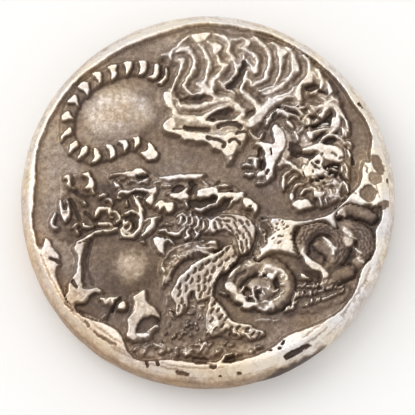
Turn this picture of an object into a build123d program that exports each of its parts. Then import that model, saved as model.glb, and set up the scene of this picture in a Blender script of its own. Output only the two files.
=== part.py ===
from build123d import *
import math
import os

os.makedirs("parts", exist_ok=True)

# A thick silver coin with an irregular hand-made blank, lying flat. Millimetres, +Z up
# out of the decorated face, origin on the back face under the centre of the blank.

# Driving dimensions
RADIUS = 19.58            # mean radius of the blank at its widest
THICKNESS = 5.5           # back face to the highest points
EDGE_INSET = 2.0          # how far the rounded edge draws in at each face
EDGE_FULLNESS = 2.4       # 2 is an ellipse, more is a squarer edge
STRIKE_DEPTH = 0.9        # from the highest points down to the field
SECTIONS = 9              # levels of the rounded edge
OUTLINE_POINTS = 24       # points round the blank at each level

FIELD_Z = THICKNESS - STRIKE_DEPTH

# Height of each raised part above the field
LAND_HEIGHT = STRIKE_DEPTH
FIGURE_HEIGHT = 0.8
LOW_HEIGHT = 0.55
PEARL_HEIGHT = 0.6
PEARL_ROUNDING = 0.55

placed = []


def blank_radius(angle):
    """The blank is uneven, so it is a little out of round."""
    return (
        RADIUS
        - 0.11 * math.cos(2 * angle)
        + 0.04 * math.cos(3 * angle + 0.6)
        + 0.05 * math.cos(5 * angle - 1.1)
    )


def edge_inset(z):
    """How far in from its widest the rounded edge is at height z."""
    lift = abs(2 * z / THICKNESS - 1)
    return EDGE_INSET * (1 - (1 - lift**EDGE_FULLNESS) ** (1 / EDGE_FULLNESS))


def blank_outline(z):
    """The slightly uneven outline of the blank at height z, as a flat face."""
    inset = edge_inset(z)
    points = []
    for step in range(OUTLINE_POINTS):
        angle = 2 * math.pi * step / OUTLINE_POINTS
        radius = blank_radius(angle) - inset
        points.append((radius * math.cos(angle), radius * math.sin(angle), z))
    return Face(Wire([Spline(*points, periodic=True)]))


def blank_between(low, high):
    """The rounded blank between two heights."""
    levels = []
    for step in range(SECTIONS):
        swing = math.pi * step / (SECTIONS - 1)
        levels.append(low + (high - low) * (1 - math.cos(swing)) / 2)
    return loft([blank_outline(z) for z in levels])


def outline(*points):
    """A closed smooth outline through points, as a flat face looking up."""
    face = Face(Wire([Spline(*points, periodic=True)]))
    return face if face.normal_at().Z > 0 else -face


def ribbon(width, *points):
    """A flat strip of one width along a line of points."""
    return trace(Spline(*points), line_width=width)


def raised(shape, height):
    """A flat shape stood up from the field to a height above it."""
    return extrude(Plane.XY.offset(FIELD_Z) * shape, amount=height, dir=(0, 0, 1))


def place(name, shape, height):
    """Trims a figure to the ones already placed beside it and writes it out."""
    free = shape & field
    for other in placed:
        free = free - other
    placed.append(shape)
    export_step(raised(free, height), f"parts/{name}.step")


# The sunk field, bounded by the uneven inner edge of the rim
field = outline(
    (0.0, 18.45), (3.0, 18.1), (6.0, 17.4), (8.6, 16.5), (10.6, 15.4), (12.5, 13.8),
    (14.0, 11.8), (15.1, 9.8), (16.2, 8.4), (16.9, 6.3), (16.8, 4.2), (17.2, 1.8),
    (17.9, -0.8), (17.9, -2.2), (17.2, -3.4), (17.3, -4.8), (16.8, -6.3),
    (15.9, -7.4), (15.5, -8.7), (14.8, -10.4), (13.5, -12.0), (11.9, -13.0),
    (9.9, -13.8), (8.0, -14.6), (6.7, -15.7), (4.6, -16.7), (1.5, -17.3),
    (-1.8, -17.2), (-4.6, -17.0), (-6.7, -17.1), (-8.2, -16.0), (-8.8, -14.5),
    (-10.7, -13.1), (-12.9, -12.3), (-14.4, -11.0), (-15.1, -9.5), (-15.6, -8.0),
    (-15.4, -6.4), (-16.1, -5.1), (-16.8, -4.5), (-17.1, -6.0), (-17.45, -6.9),
    (-17.8, -5.8), (-18.0, -3.5), (-17.9, -0.5), (-17.7, 2.5), (-17.6, 5.0),
    (-17.2, 6.8), (-16.4, 8.6), (-15.2, 10.5), (-13.5, 12.5), (-11.5, 14.0),
    (-9.0, 15.6), (-6.0, 16.9), (-3.0, 18.0),
)


def make_flan():
    """The solid blank under the decorated face."""
    export_step(blank_between(0, FIELD_Z), "parts/flan.step")


def make_rim():
    """The raised border left standing between the field and the edge."""
    border = blank_between(FIELD_Z, THICKNESS) - raised(field, 2 * STRIKE_DEPTH)
    export_step(border, "parts/rim.step")


def pearl(name, x, y, half_length, half_width):
    """A low dome standing in the field, inside the curl of each animal."""
    shape = Location((x, y)) * Ellipse(half_length, half_width)
    dome = raised(shape, PEARL_HEIGHT)
    dome = fillet(dome.edges().group_by(Axis.Z)[-1], PEARL_ROUNDING)
    placed.append(shape)
    export_step(dome, f"parts/{name}.step")


def make_tiger():
    """The tiger leaps across the upper half, head down at the right, tail round its pearl."""
    tail = ribbon(
        1.75, (-4.6, 13.35), (-6.9, 13.75), (-8.4, 13.7), (-9.8, 13.35),
        (-11.4, 12.6), (-12.8, 11.5), (-13.9, 10.0), (-14.5, 8.4), (-14.5, 6.7),
        (-13.9, 5.3), (-12.8, 4.6), (-11.5, 4.55), (-10.1, 4.85), (-8.8, 5.5),
        (-7.7, 5.8), (-6.6, 5.3), (-5.9, 4.85),
    )
    tail_end = outline((-6.1, 5.9), (-5.3, 4.9), (-5.3, 4.2), (-6.1, 4.0), (-6.8, 4.7))
    place("tiger_tail", tail + tail_end, FIGURE_HEIGHT)

    head = outline(
        (9.6, 9.9), (11.2, 9.9), (12.3, 10.4), (13.5, 10.5), (14.1, 9.2), (14.6, 7.7),
        (15.0, 6.0), (15.0, 4.3), (14.9, 2.6), (14.7, 1.2), (14.0, 0.2),
        (13.0, -0.7), (12.2, -0.9), (12.0, 0.4), (11.2, 1.2), (10.2, 2.0),
        (9.8, 3.2), (9.5, 4.4), (8.5, 5.4), (9.1, 7.4), (10.0, 8.6),
    )
    place("tiger_head", head, LAND_HEIGHT)

    front_paw = outline(
        (7.9, 3.1), (8.9, 3.3), (9.6, 2.9), (10.2, 2.0), (11.4, 1.0), (12.1, 0.3),
        (12.1, -0.9), (10.9, -1.0), (9.9, -1.35), (8.9, -1.0), (8.4, -0.3),
        (8.3, 0.7), (7.7, 1.5), (7.7, 2.4),
    )
    place("tiger_front_paw", front_paw, FIGURE_HEIGHT)

    foreleg = outline(
        (6.2, 8.3), (6.9, 9.5), (8.2, 9.1), (9.4, 8.3), (9.3, 6.6), (8.4, 5.4),
        (7.5, 4.3), (7.1, 3.2), (7.0, 2.4), (6.4, 1.6), (5.1, 1.5), (4.9, 2.2),
        (3.9, 2.5), (4.6, 2.9), (4.4, 3.2), (3.6, 3.45), (4.5, 3.8), (4.1, 4.2),
        (4.9, 4.9), (4.7, 5.7), (5.7, 5.9), (6.8, 6.1), (6.5, 7.0),
    )
    place("tiger_foreleg", foreleg, LAND_HEIGHT)

    hind_leg = outline(
        (-4.0, 8.6), (-4.6, 7.7), (-4.1, 6.9), (-3.0, 6.6), (-2.0, 6.1), (-0.5, 5.95),
        (0.6, 5.3), (1.5, 4.8), (1.8, 4.0), (2.5, 3.9), (3.0, 4.9), (3.5, 4.8),
        (3.9, 6.0), (4.2, 7.4), (3.0, 8.1), (1.2, 8.3), (-0.8, 8.7), (-2.6, 8.9),
    )
    place("tiger_hind_leg", hind_leg, FIGURE_HEIGHT)

    body = outline(
        (-4.6, 10.7), (-4.7, 12.2), (-4.3, 13.6), (-4.8, 15.0), (-3.9, 15.9),
        (-2.6, 17.0), (-1.0, 17.5), (0.6, 17.6), (3.0, 17.2), (5.0, 17.0),
        (7.2, 16.5), (9.2, 15.8), (10.8, 14.7), (12.0, 13.1), (13.0, 11.4),
        (12.6, 10.3), (10.5, 9.8), (8.4, 9.5), (6.6, 9.4), (5.9, 8.4), (5.0, 7.6),
        (3.6, 7.6), (1.5, 8.1), (-1.2, 8.6), (-3.1, 9.0),
    )
    place("tiger_body", body, FIGURE_HEIGHT)


def make_dragon():
    """The dragon rises from the waves, its head at the left over the lower pearl."""
    curl = outline(
        (-7.7, 0.2), (-7.1, -0.8), (-6.7, -2.2), (-6.8, -3.4), (-7.5, -4.3),
        (-8.4, -4.5), (-9.0, -3.8), (-9.1, -2.6), (-8.9, -1.5), (-8.4, -0.9),
    )
    place("dragon_whisker", curl, FIGURE_HEIGHT)

    # Three short locks that hang apart from one another under the jaw
    beard_locks = (
        outline((-7.0, -4.0), (-6.1, -3.9), (-5.3, -3.3), (-5.2, -2.2), (-6.0, -1.8),
                (-6.6, -2.6)),
        outline((-9.2, -4.5), (-8.7, -5.2), (-7.9, -5.7), (-6.9, -5.7), (-6.5, -4.8),
                (-7.3, -4.5), (-8.3, -4.7)),
        outline((-5.7, -4.5), (-5.1, -4.0), (-4.5, -4.6), (-4.3, -5.6), (-4.5, -6.2),
                (-5.2, -5.7)),
    )
    place("dragon_beard", beard_locks[0] + beard_locks[1] + beard_locks[2], FIGURE_HEIGHT)

    head = outline(
        (-14.9, 2.6), (-13.6, 2.7), (-12.4, 2.8), (-11.6, 1.9), (-10.3, 1.9),
        (-9.7, 0.9), (-9.3, -0.4), (-8.9, -1.8), (-9.0, -3.2), (-10.3, -3.5),
        (-11.6, -3.6), (-12.4, -4.4), (-13.6, -4.8), (-15.2, -4.4), (-16.3, -3.6),
        (-16.2, -2.2), (-15.6, -1.2), (-15.4, 0.4), (-15.2, 1.7),
    )
    place("dragon_head", head, FIGURE_HEIGHT)

    mane = outline(
        (-9.8, 2.0), (-8.8, 2.7), (-7.1, 3.3), (-5.9, 2.8), (-4.6, 2.3), (-2.4, 2.6),
        (-0.4, 2.7), (0.4, 2.0), (2.0, 1.8), (3.3, 1.0), (4.4, 0.0), (5.6, -1.5),
        (4.6, -1.4), (3.2, -1.2), (1.4, -1.4), (0.0, -1.8), (-1.4, -1.3),
        (-2.4, -1.0), (-3.6, -1.6), (-5.4, -1.4), (-6.0, -0.8), (-7.4, 0.1),
        (-9.2, 0.2), (-9.6, 1.1),
    )
    place("dragon_mane", mane, LAND_HEIGHT)

    neck = outline(
        (-3.5, -2.0), (-2.3, -1.3), (0.0, -1.9), (1.6, -1.4), (3.6, -1.3),
        (4.7, -1.8), (5.0, -3.0), (4.9, -4.4), (4.3, -5.4), (3.3, -6.2),
        (2.7, -5.2), (2.3, -4.2), (0.8, -3.9), (-1.0, -4.0), (-2.2, -4.4),
        (-3.2, -4.1), (-5.0, -3.5), (-5.0, -2.8),
    )
    place("dragon_neck", neck, FIGURE_HEIGHT)

    throat = outline(
        (-5.0, -4.2), (-3.9, -4.6), (-2.0, -4.6), (-0.4, -4.3), (1.2, -4.4),
        (1.9, -4.9), (0.8, -5.8), (-0.6, -6.3), (-2.2, -6.6), (-3.3, -7.6),
        (-4.2, -9.2), (-4.9, -8.6), (-4.8, -7.2), (-4.6, -6.0), (-5.4, -4.9),
    )
    place("dragon_throat", throat, LOW_HEIGHT)

    foreleg = outline(
        (0.7, -10.3), (1.6, -11.2), (2.2, -12.3), (3.0, -13.0), (4.4, -13.1),
        (5.4, -13.8), (6.3, -14.2), (5.2, -14.7), (4.4, -15.3), (3.2, -14.8),
        (2.2, -14.9), (1.2, -14.6), (0.2, -14.8), (-0.1, -13.2), (0.0, -11.6),
    )
    place("dragon_foreleg", foreleg, FIGURE_HEIGHT)

    body = outline(
        (2.2, -4.9), (3.2, -4.6), (3.9, -5.4), (3.2, -6.4), (2.6, -7.1),
        (1.6, -7.9), (0.95, -8.8), (0.85, -10.0), (0.5, -11.2), (0.2, -12.8),
        (0.1, -14.8), (-1.6, -15.3), (-4.4, -15.4), (-4.9, -13.4), (-4.6, -11.2),
        (-4.2, -9.4), (-2.8, -7.8), (-0.9, -6.7), (0.8, -5.9),
    )
    place("dragon_body", body, FIGURE_HEIGHT)

    coil = outline(
        (1.8, -8.8), (2.6, -7.7), (4.2, -7.1), (6.4, -6.9), (7.9, -7.5), (8.6, -8.8),
        (8.3, -10.4), (7.2, -11.6), (5.6, -12.0), (3.9, -11.7), (2.8, -10.6),
    )
    place("dragon_tail_coil", coil, FIGURE_HEIGHT)

    # Four small fins down the outside of the neck, each a separate leaf
    fin_shapes = (
        outline((5.2, -2.3), (6.1, -2.5), (6.7, -3.5), (6.3, -4.15), (5.6, -3.4)),
        outline((5.2, -3.4), (5.8, -3.9), (5.95, -5.0), (5.5, -5.2), (5.15, -4.3)),
        outline((4.95, -4.9), (5.3, -5.4), (5.25, -6.2), (4.85, -5.9), (4.75, -5.3)),
        outline((3.6, -6.5), (4.5, -6.2), (4.8, -7.0), (4.2, -7.3)),
    )
    fins = fin_shapes[0] + fin_shapes[1] + fin_shapes[2] + fin_shapes[3]
    place("dragon_fins", fins, LOW_HEIGHT)


def make_dividing_band():
    """The flat land that parts the two animals and runs into the rim."""
    band = outline(
        (16.4, 4.0), (17.4, 3.4), (18.4, 1.0), (18.6, -1.2), (17.2, -0.95),
        (15.9, -0.9), (14.9, -0.65), (13.8, -1.0), (13.25, -2.0), (13.4, -3.4),
        (12.3, -2.7), (10.6, -2.75), (9.4, -3.2), (9.0, -4.6), (9.3, -6.2),
        (8.4, -6.1), (7.3, -5.8), (6.0, -6.2), (5.0, -6.75), (4.7, -5.9),
        (5.1, -4.2), (5.3, -2.4), (6.2, -2.0), (9.0, -2.2), (11.6, -1.9),
        (13.2, -1.1), (14.6, 0.4), (15.7, 2.0),
    )
    place("dividing_band", band, LAND_HEIGHT)


def make_scenery():
    """The far loops of the tail, and the cloud, rock and waves round the dragon."""
    arch = outline(
        (9.3, -6.3), (9.1, -4.2), (9.6, -3.1), (11.2, -2.7), (12.9, -2.9),
        (13.2, -1.5), (14.4, -0.6), (16.5, -1.0), (17.8, -1.3), (17.6, -2.6),
        (17.1, -3.6), (17.2, -5.4), (16.3, -6.8), (15.8, -8.0), (14.6, -8.6),
        (12.6, -8.6), (10.7, -8.2), (9.7, -7.4),
    )
    place("dragon_tail_arch", arch, LOW_HEIGHT)

    tail_end = outline(
        (8.9, -9.0), (10.4, -8.6), (12.0, -8.9), (13.8, -8.8), (14.9, -9.4),
        (14.2, -10.8), (12.7, -11.4), (11.0, -12.1), (9.2, -12.2), (8.2, -12.5),
        (7.6, -12.2), (8.5, -10.8),
    )
    place("dragon_tail_end", tail_end, LOW_HEIGHT)

    cloud = outline(
        (-13.6, -4.8), (-12.4, -4.5), (-13.0, -6.0), (-13.05, -8.4), (-12.6, -9.6),
        (-11.2, -9.5), (-10.9, -10.1), (-9.4, -10.4), (-9.9, -12.0), (-10.8, -12.9),
        (-11.9, -12.6), (-13.8, -11.7), (-14.6, -10.4), (-14.1, -8.9),
        (-13.6, -7.4), (-13.8, -6.0),
    )
    place("cloud_scroll", cloud, FIGURE_HEIGHT)

    rock = outline(
        (-6.5, -9.7), (-7.6, -10.5), (-8.1, -12.6), (-8.2, -14.2), (-7.7, -15.0),
        (-6.0, -14.8), (-5.0, -13.4), (-4.9, -12.6), (-6.2, -11.2),
    )
    place("rock", rock, FIGURE_HEIGHT)

    waves = outline(
        (-8.2, -15.0), (-6.6, -15.2), (-4.6, -15.5), (-2.0, -15.2), (0.2, -15.1),
        (2.4, -15.6), (4.6, -15.3), (6.2, -15.2), (5.0, -16.1), (2.4, -16.4),
        (0.6, -17.0), (-2.0, -16.6), (-4.6, -16.9), (-6.8, -16.8), (-8.1, -16.0),
    )
    place("waves", waves, LOW_HEIGHT)


make_flan()
make_rim()
pearl("upper_pearl", -9.2, 8.9, 3.9, 2.7)
pearl("lower_pearl", -8.9, -7.2, 3.6, 2.9)
make_tiger()
make_dragon()
make_dividing_band()
make_scenery()
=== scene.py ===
import math

import bpy
import numpy as np
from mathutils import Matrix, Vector


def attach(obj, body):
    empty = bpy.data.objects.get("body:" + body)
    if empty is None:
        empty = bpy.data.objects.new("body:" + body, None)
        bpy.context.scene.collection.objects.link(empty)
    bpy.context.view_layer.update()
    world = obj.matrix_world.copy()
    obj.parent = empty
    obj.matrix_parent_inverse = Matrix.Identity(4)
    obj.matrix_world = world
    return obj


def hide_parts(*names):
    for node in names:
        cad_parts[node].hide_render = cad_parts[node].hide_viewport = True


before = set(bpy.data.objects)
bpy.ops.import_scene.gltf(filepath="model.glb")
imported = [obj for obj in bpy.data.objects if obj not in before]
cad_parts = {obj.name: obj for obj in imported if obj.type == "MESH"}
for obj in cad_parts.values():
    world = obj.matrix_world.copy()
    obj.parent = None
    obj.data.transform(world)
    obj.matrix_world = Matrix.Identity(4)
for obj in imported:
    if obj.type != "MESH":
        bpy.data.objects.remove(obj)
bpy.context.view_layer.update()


# The rim: the raised silver border round the field, in one piece with the blank. The whole
# decorated face is laid out here as one sheet of heights, in millimetres above the field:
# each figure is worked into it and cut out in its turn, and the flan takes what is left.

MM = 0.001
RADIUS = 19.58            # mean radius of the blank at its widest
THICKNESS = 5.5           # back to the highest points
EDGE_INSET = 2.0          # how far the rounded edge draws in at each face
EDGE_FULLNESS = 2.4       # 2 is an ellipse, more is a squarer edge
RELIEF_DEPTH = 0.9        # highest points down to the field
FIELD_Z = THICKNESS - RELIEF_DEPTH
PITCH = 0.075             # between neighbouring points of the sheet
CELLS = 512               # points along the sheet, less one
REACH = PITCH * CELLS / 2
EDGE_WIDTH = 0.78         # outer part of the blank, made as rings
ROOT_DEPTH = 0.45         # how far each figure is rooted under the field
ON_PLANE = 0.002          # a CAD corner this near the field's height lies on it
RIM_FROM = 17.3           # bare ground farther out than this is rim
INNER_BORDER = (15, 18.9)  # between these, the rim keeps to its own CAD outline
HALF_CELL = 1.42 * PITCH  # just over half the diagonal of a cell
EDGE_STRIP = 0.35         # the outermost strip is rim, whatever figure reaches it
NAMES = sorted(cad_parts)
OFF_SHEET = -1            # the owner of cells beyond the sheet's round border

line = np.linspace(-REACH, REACH, CELLS + 1)
across, along = np.meshgrid(line, line, indexing="ij")
chance = np.random.default_rng(11)  # every random draw comes from here, in order


def blank_radius(angle):
    """The blank's widest radius, which is a little out of round."""
    return (RADIUS - 0.11 * np.cos(2 * angle) + 0.04 * np.cos(3 * angle + 0.6)
            + 0.05 * np.cos(5 * angle - 1.1))


def edge_inset(z):
    """How far the rounded edge has drawn in at a height above the back."""
    lift = np.abs(2 * z / THICKNESS - 1)
    return EDGE_INSET * (1 - (1 - lift**EDGE_FULLNESS) ** (1 / EDGE_FULLNESS))


def edge_drop(inset):
    """How far the rounded edge has fallen below the face, at a distance in from the widest."""
    share = np.clip(inset / EDGE_INSET, 0, 1)
    lift = (1 - (1 - share) ** EDGE_FULLNESS) ** (1 / EDGE_FULLNESS)
    return THICKNESS / 2 * (1 - lift)


def ease(value, low, high):
    """0 below low, 1 above high, and a smooth rise between."""
    t = np.clip((value - low) / (high - low), 0, 1)
    return t * t * (3 - 2 * t)


def soften(sheet, radius, rounds=2):
    """Averages the sheet over a square of that radius, in millimetres."""
    size = max(1, int(round(radius / PITCH)))
    for _ in range(rounds):
        for axis in (0, 1):
            pad = [(0, 0), (0, 0)]
            pad[axis] = (size + 1, size)
            total = np.cumsum(np.pad(sheet, pad, mode="edge"), axis=axis)
            high = np.take(total, range(2 * size + 1, total.shape[axis]), axis=axis)
            low = np.take(total, range(0, total.shape[axis] - 2 * size - 1), axis=axis)
            sheet = (high - low) / (2 * size + 1)
    return sheet


def mottle(size):
    """Smooth unevenness from -1 to 1 with spots of that size, in millimetres."""
    count = int(2 * REACH / size) + 3
    rough = chance.uniform(-1, 1, (count, count))
    place = (line + REACH) / size
    low = place.astype(int)
    part = place - low
    part = part * part * (3 - 2 * part)
    rows = rough[low] * (1 - part)[:, None] + rough[low + 1] * part[:, None]
    return rows[:, low] * (1 - part) + rows[:, low + 1] * part


def footprint(name):
    """The border of a figure's flat underside, as pairs of points in millimetres."""
    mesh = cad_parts[name].data
    mesh.calc_loop_triangles()
    points = np.array([v.co for v in mesh.vertices]) / MM
    faces = np.array([t.vertices for t in mesh.loop_triangles])
    corners = points[faces]
    low = np.abs(corners[:, :, 2] - FIELD_Z).max(1) < ON_PLANE
    flat = np.round(corners[low][:, :, :2], 4)
    turned = np.cross(flat[:, 1] - flat[:, 0], flat[:, 2] - flat[:, 0])
    flat = flat[np.abs(turned) > 1e-9]
    seen = {}
    for triangle in flat:
        for start, end in ((0, 1), (1, 2), (2, 0)):
            a, b = tuple(triangle[start]), tuple(triangle[end])
            key = (a, b) if a < b else (b, a)
            seen[key] = seen.get(key, 0) + 1
    return np.array([key for key, times in seen.items() if times == 1])


def inside(edges, x, y):
    """True where a point is inside the closed border made of those edges."""
    hit = np.zeros(x.shape, bool)
    for (ax, ay), (bx, by) in edges:
        if ay == by:
            continue
        crosses = (ay > y) != (by > y)
        hit ^= crosses & (x < ax + (y - ay) * (bx - ax) / (by - ay))
    return hit


# each cell of the sheet is given to one piece; the cells are twice the pitch
middle = (line[:-1:2] + line[2::2]) / 2
cell_x, cell_y = np.meshgrid(middle, middle, indexing="ij")
owner = np.full(cell_x.shape, NAMES.index("flan"))
for name in NAMES:
    if name == "flan":
        continue
    edges = footprint(name)
    low = np.searchsorted(middle, edges.min((0, 1)) - 0.2)
    high = np.searchsorted(middle, edges.max((0, 1)) + 0.2)
    part = (slice(low[0], high[0]), slice(low[1], high[1]))
    found = inside(edges, cell_x[part], cell_y[part])
    owner[part] = np.where(found, NAMES.index(name), owner[part])
cell_angle = np.arctan2(cell_y, cell_x)
cell_far = np.hypot(cell_x, cell_y)
owner[(owner == NAMES.index("flan")) & (cell_far > RIM_FROM)] = NAMES.index("rim")
on_rim = inside(footprint("rim"), cell_x, cell_y)
followed = (cell_far > INNER_BORDER[0]) & (cell_far < INNER_BORDER[1])
owner[followed & ~on_rim & (owner == NAMES.index("rim"))] = NAMES.index("flan")
outer = blank_radius(cell_angle) - EDGE_WIDTH - HALF_CELL
owner[cell_far > outer - EDGE_STRIP] = NAMES.index("rim")
owner[cell_far > outer] = OFF_SHEET
# two cells of one piece that touch only at a corner would pinch its mesh, so a neighbour joins them
for _ in range(4):
    a, b, c, d = owner[:-1, :-1], owner[1:, 1:], owner[:-1, 1:], owner[1:, :-1]
    first = (a == b) & (c != a) & (d != a)
    owner[:-1, 1:] = np.where(first & (c != OFF_SHEET), a, c)
    a, b, c, d = owner[:-1, :-1], owner[1:, 1:], owner[:-1, 1:], owner[1:, :-1]
    second = (c == d) & (a != c) & (b != c)
    owner[:-1, :-1] = np.where(second & (a != OFF_SHEET), c, a)

# how high each figure's ground stands above the field, and how bright it has worn there;
# neighbours melt into each other, so the sheet needs them all before the rim is cut out
GROUND = {
    "rim": (0.90, 0.97), "dividing_band": (0.84, 0.97), "upper_pearl": (0.0, 0.44),
    "lower_pearl": (0.0, 0.36), "tiger_body": (0.20, 0.36), "tiger_tail": (0.30, 0.30),
    "tiger_head": (0.24, 0.60), "tiger_hind_leg": (0.52, 0.74), "tiger_foreleg": (0.20, 0.42),
    "tiger_front_paw": (0.22, 0.36), "dragon_head": (0.10, 0.26),
    "dragon_whisker": (0.12, 0.28), "dragon_beard": (0.30, 0.60), "dragon_mane": (0.22, 0.48),
    "dragon_neck": (0.24, 0.50), "dragon_throat": (0.20, 0.32), "dragon_body": (0.22, 0.40),
    "dragon_foreleg": (0.18, 0.34), "dragon_tail_coil": (0.14, 0.36),
    "dragon_tail_arch": (0.20, 0.28), "dragon_tail_end": (0.16, 0.32),
    "dragon_fins": (0.24, 0.30), "cloud_scroll": (0.46, 0.60), "rock": (0.56, 0.58),
    "waves": (0.12, 0.50), "flan": (0.0, 0.40),
}
SHOULDER_STEPS = 6        # a figure reaches its full height that many points in from its border
TOP_SPARE = 0.012         # the ground never reaches the coin's full height
fine = np.repeat(np.repeat(owner, 2, 0), 2, 1)
corner = np.pad(fine, 1, mode="edge")
corners = np.stack([corner[:-1, :-1], corner[1:, :-1], corner[:-1, 1:], corner[1:, 1:]])
levels, tones = np.array([GROUND[name] for name in NAMES] + [GROUND["rim"]]).T
raised = (corners != NAMES.index("flan")).all(0).astype(float)
shoulder = np.zeros(raised.shape)
core = raised.copy()
for _ in range(SHOULDER_STEPS):
    shoulder += core / SHOULDER_STEPS
    core = np.minimum.reduce([core, np.roll(core, 1, 0), np.roll(core, -1, 0),
                              np.roll(core, 1, 1), np.roll(core, -1, 1)])
shoulder = 1 - (1 - np.clip(soften(shoulder, 0.15) * 1.25, 0, 1)) ** 2
# unevenness of the metal, small and large, and the wandering of every stroke laid on it
grain = mottle(0.35) * 0.5 + mottle(0.8) * 0.35 + mottle(0.16) * 0.3
swell = mottle(2.6)
wander = (0.085 * mottle(0.42) + 0.04 * mottle(0.2), 0.085 * mottle(0.42) + 0.04 * mottle(0.2))
far = np.hypot(across, along)
near_rim = soften(((corners == NAMES.index("rim")) | (corners == OFF_SHEET)).mean(0), 0.30)
on_field = near_rim < 0.5
step = ease(near_rim + 0.10 * grain + 0.06 * swell, 0.20, 0.80)
block = soften(levels[corners].mean(0), 0.15) * shoulder * (1 + 0.04 * grain)
block = np.maximum(block, RELIEF_DEPTH * step) + (1 - shoulder) * (0.022 * grain + 0.02 * swell)
block = np.minimum(block, RELIEF_DEPTH - TOP_SPARE + 0.008 * grain)
ground_tone = soften(tones[corners].mean(0), 0.12)
by_rim = np.maximum(ground_tone * on_field, step * GROUND["rim"][1])
ground_tone = np.where(near_rim > 0.02, by_rim, ground_tone)
# the field is darker low down, and paler at the left and the top
low_dark = 0.09 * ease(-along, -2.5, 1.5) * (1 - ease(far, 14, 16.5))
left_light = 0.14 * ease(-across + 0.25 * along, 9, 18) + 0.10 * ease(along, 13, 18)
ground_tone = ground_tone + 0.07 * grain + 0.07 * swell + left_light * on_field - low_dark
# heights in millimetres, brightness from 0 to 1, and how firmly a stroke may take hold
relief = block.copy()
shine = ground_tone.copy()
grip = np.zeros(relief.shape)
spread = [0.35]           # how wide the scooped sides of a ridge are, set by hold
frozen = np.zeros(relief.shape, bool)


def hold(slope=0.35):
    """Starts on a figure: what is already cut out is left alone, and ridges get that slope."""
    free = (~frozen).astype(float)
    grip[:] = free * (0.4 + 0.6 * soften(free, PITCH, 1))
    spread[0] = slope


def smooth_line(flat, closed=False):
    """A smooth line through points given as x, y, x, y and so on."""
    points = np.array(flat, float).reshape(-1, 2)
    if len(points) < 3 and not closed:
        return points
    before, after = (points[-1], points[0]) if closed else (points[0], points[-1])
    chain = np.vstack([before, points, after] + ([points[1]] if closed else []))
    runs = []
    for k in range(len(chain) - 3):
        p, q, r, s = chain[k:k + 4]
        steps = max(2, int(np.hypot(*(r - q)) / 0.12))
        t = (np.arange(steps) / steps)[:, None]
        runs.append(0.5 * (2 * q + (r - p) * t + (2 * p - 5 * q + 4 * r - s) * t**2
                           + (3 * q - p - 3 * r + s) * t**3))
    if not closed:
        runs.append(points[-1:])
    return np.vstack(runs)


def window(path, reach):
    """The part of the sheet within reach of a line."""
    low = np.clip(((path.min(0) - reach + REACH) / PITCH).astype(int), 0, CELLS)
    high = np.clip(((path.max(0) + reach + REACH) / PITCH).astype(int) + 2, 0, CELLS + 1)
    return slice(low[0], high[0]), slice(low[1], high[1])


def reach_to(path, part):
    """Distance to a line, and how far along it from 0 to 1, over a part of the sheet."""
    x = (across + wander[0])[part][..., None]
    y = (along + wander[1])[part][..., None]
    a, b = path[:-1], path[1:]
    d = b - a
    long = np.maximum((d**2).sum(1), 1e-12)
    t = np.clip(((x - a[:, 0]) * d[:, 0] + (y - a[:, 1]) * d[:, 1]) / long, 0, 1)
    gap = np.hypot(x - a[:, 0] - t * d[:, 0], y - a[:, 1] - t * d[:, 1])
    near = gap.argmin(-1)
    gap = gap.min(-1)
    t = np.take_along_axis(t, near[..., None], -1)[..., 0]
    run = np.concatenate([[0], np.cumsum(np.sqrt(long))])
    return gap, (run[near] + t * np.sqrt(long)[near]) / run[-1], run[-1]


RIDGE_SIDE = 0.66         # how bright the scooped sides of a ridge are worn
LAND_SIDE = 0.62          # and those of a land


def ridge(width, *flat, top=0.84, bright=0.92):
    """Raises a sharp-crested ridge with scooped sides along a line, and polishes its crest."""
    path = smooth_line(flat)
    slope = spread[0]
    part = window(path, width + slope)
    gap, share, run = reach_to(path, part)
    ends = np.minimum(share, 1 - share) * run / max(width * 1.5, 0.1)
    half = width * (0.34 + 0.32 * np.clip(ends, 0, 1))
    half = half * (1 + 0.22 * grain[part] + 0.10 * swell[part])
    rise = np.clip(1 - np.maximum(gap - half * 0.5, 0) / (half * 0.5 + slope), 0, 1) ** 2
    relief[part] += np.maximum(top - relief[part], 0) * rise * grip[part]
    shine[part] += np.maximum(RIDGE_SIDE - shine[part], 0) * rise * grip[part]
    line_worn = ease(half - gap, -0.10, half * 0.8) * grip[part]
    shine[part] += np.maximum(bright - 0.10 + 0.20 * grain[part] - shine[part], 0) * line_worn


def groove(width, *flat, depth=0.3, dark=0.12):
    """Cuts a rounded groove along a line, and leaves it dark."""
    path = smooth_line(flat)
    part = window(path, width * 1.3)
    gap, share, run = reach_to(path, part)
    cut = np.clip(1 - (gap / (width * 0.72)) ** 2, 0, 1) * grip[part]
    relief[part] -= depth * cut
    wear_and_painted_light = ease(width * 0.62 - gap, -0.03, width * 0.3) * grip[part]
    shine[part] += (dark - shine[part]) * wear_and_painted_light


def within(flat, reach):
    """Distance inside a smooth closed outline, negative outside, over its part of the sheet."""
    path = smooth_line(flat, closed=True)
    path = np.vstack([path, path[:1]])
    part = window(path, reach)
    gap = reach_to(path, part)[0]
    edges = np.stack([path[:-1], path[1:]], 1)
    x, y = (across + wander[0])[part], (along + wander[1])[part]
    return np.where(inside(edges, x, y), gap, -gap), part


def land(*flat, top=0.85, bright=0.86):
    """Raises a patch to a soft-edged land with scooped sides, and polishes it."""
    slope = spread[0]
    depth, part = within(flat, 0.3 + slope)
    rise = np.clip(1 + np.minimum(depth - 0.06, 0) / (0.1 + slope), 0, 1) ** 2
    relief[part] += np.maximum(top - relief[part], 0) * rise * grip[part]
    shine[part] += np.maximum(LAND_SIDE - shine[part], 0) * rise * grip[part]
    polish_and_painted_slope_light = bright + 0.12 * grain[part] - shine[part]
    shine[part] += polish_and_painted_slope_light * ease(depth, -0.05, 0.16) * grip[part]


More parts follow.
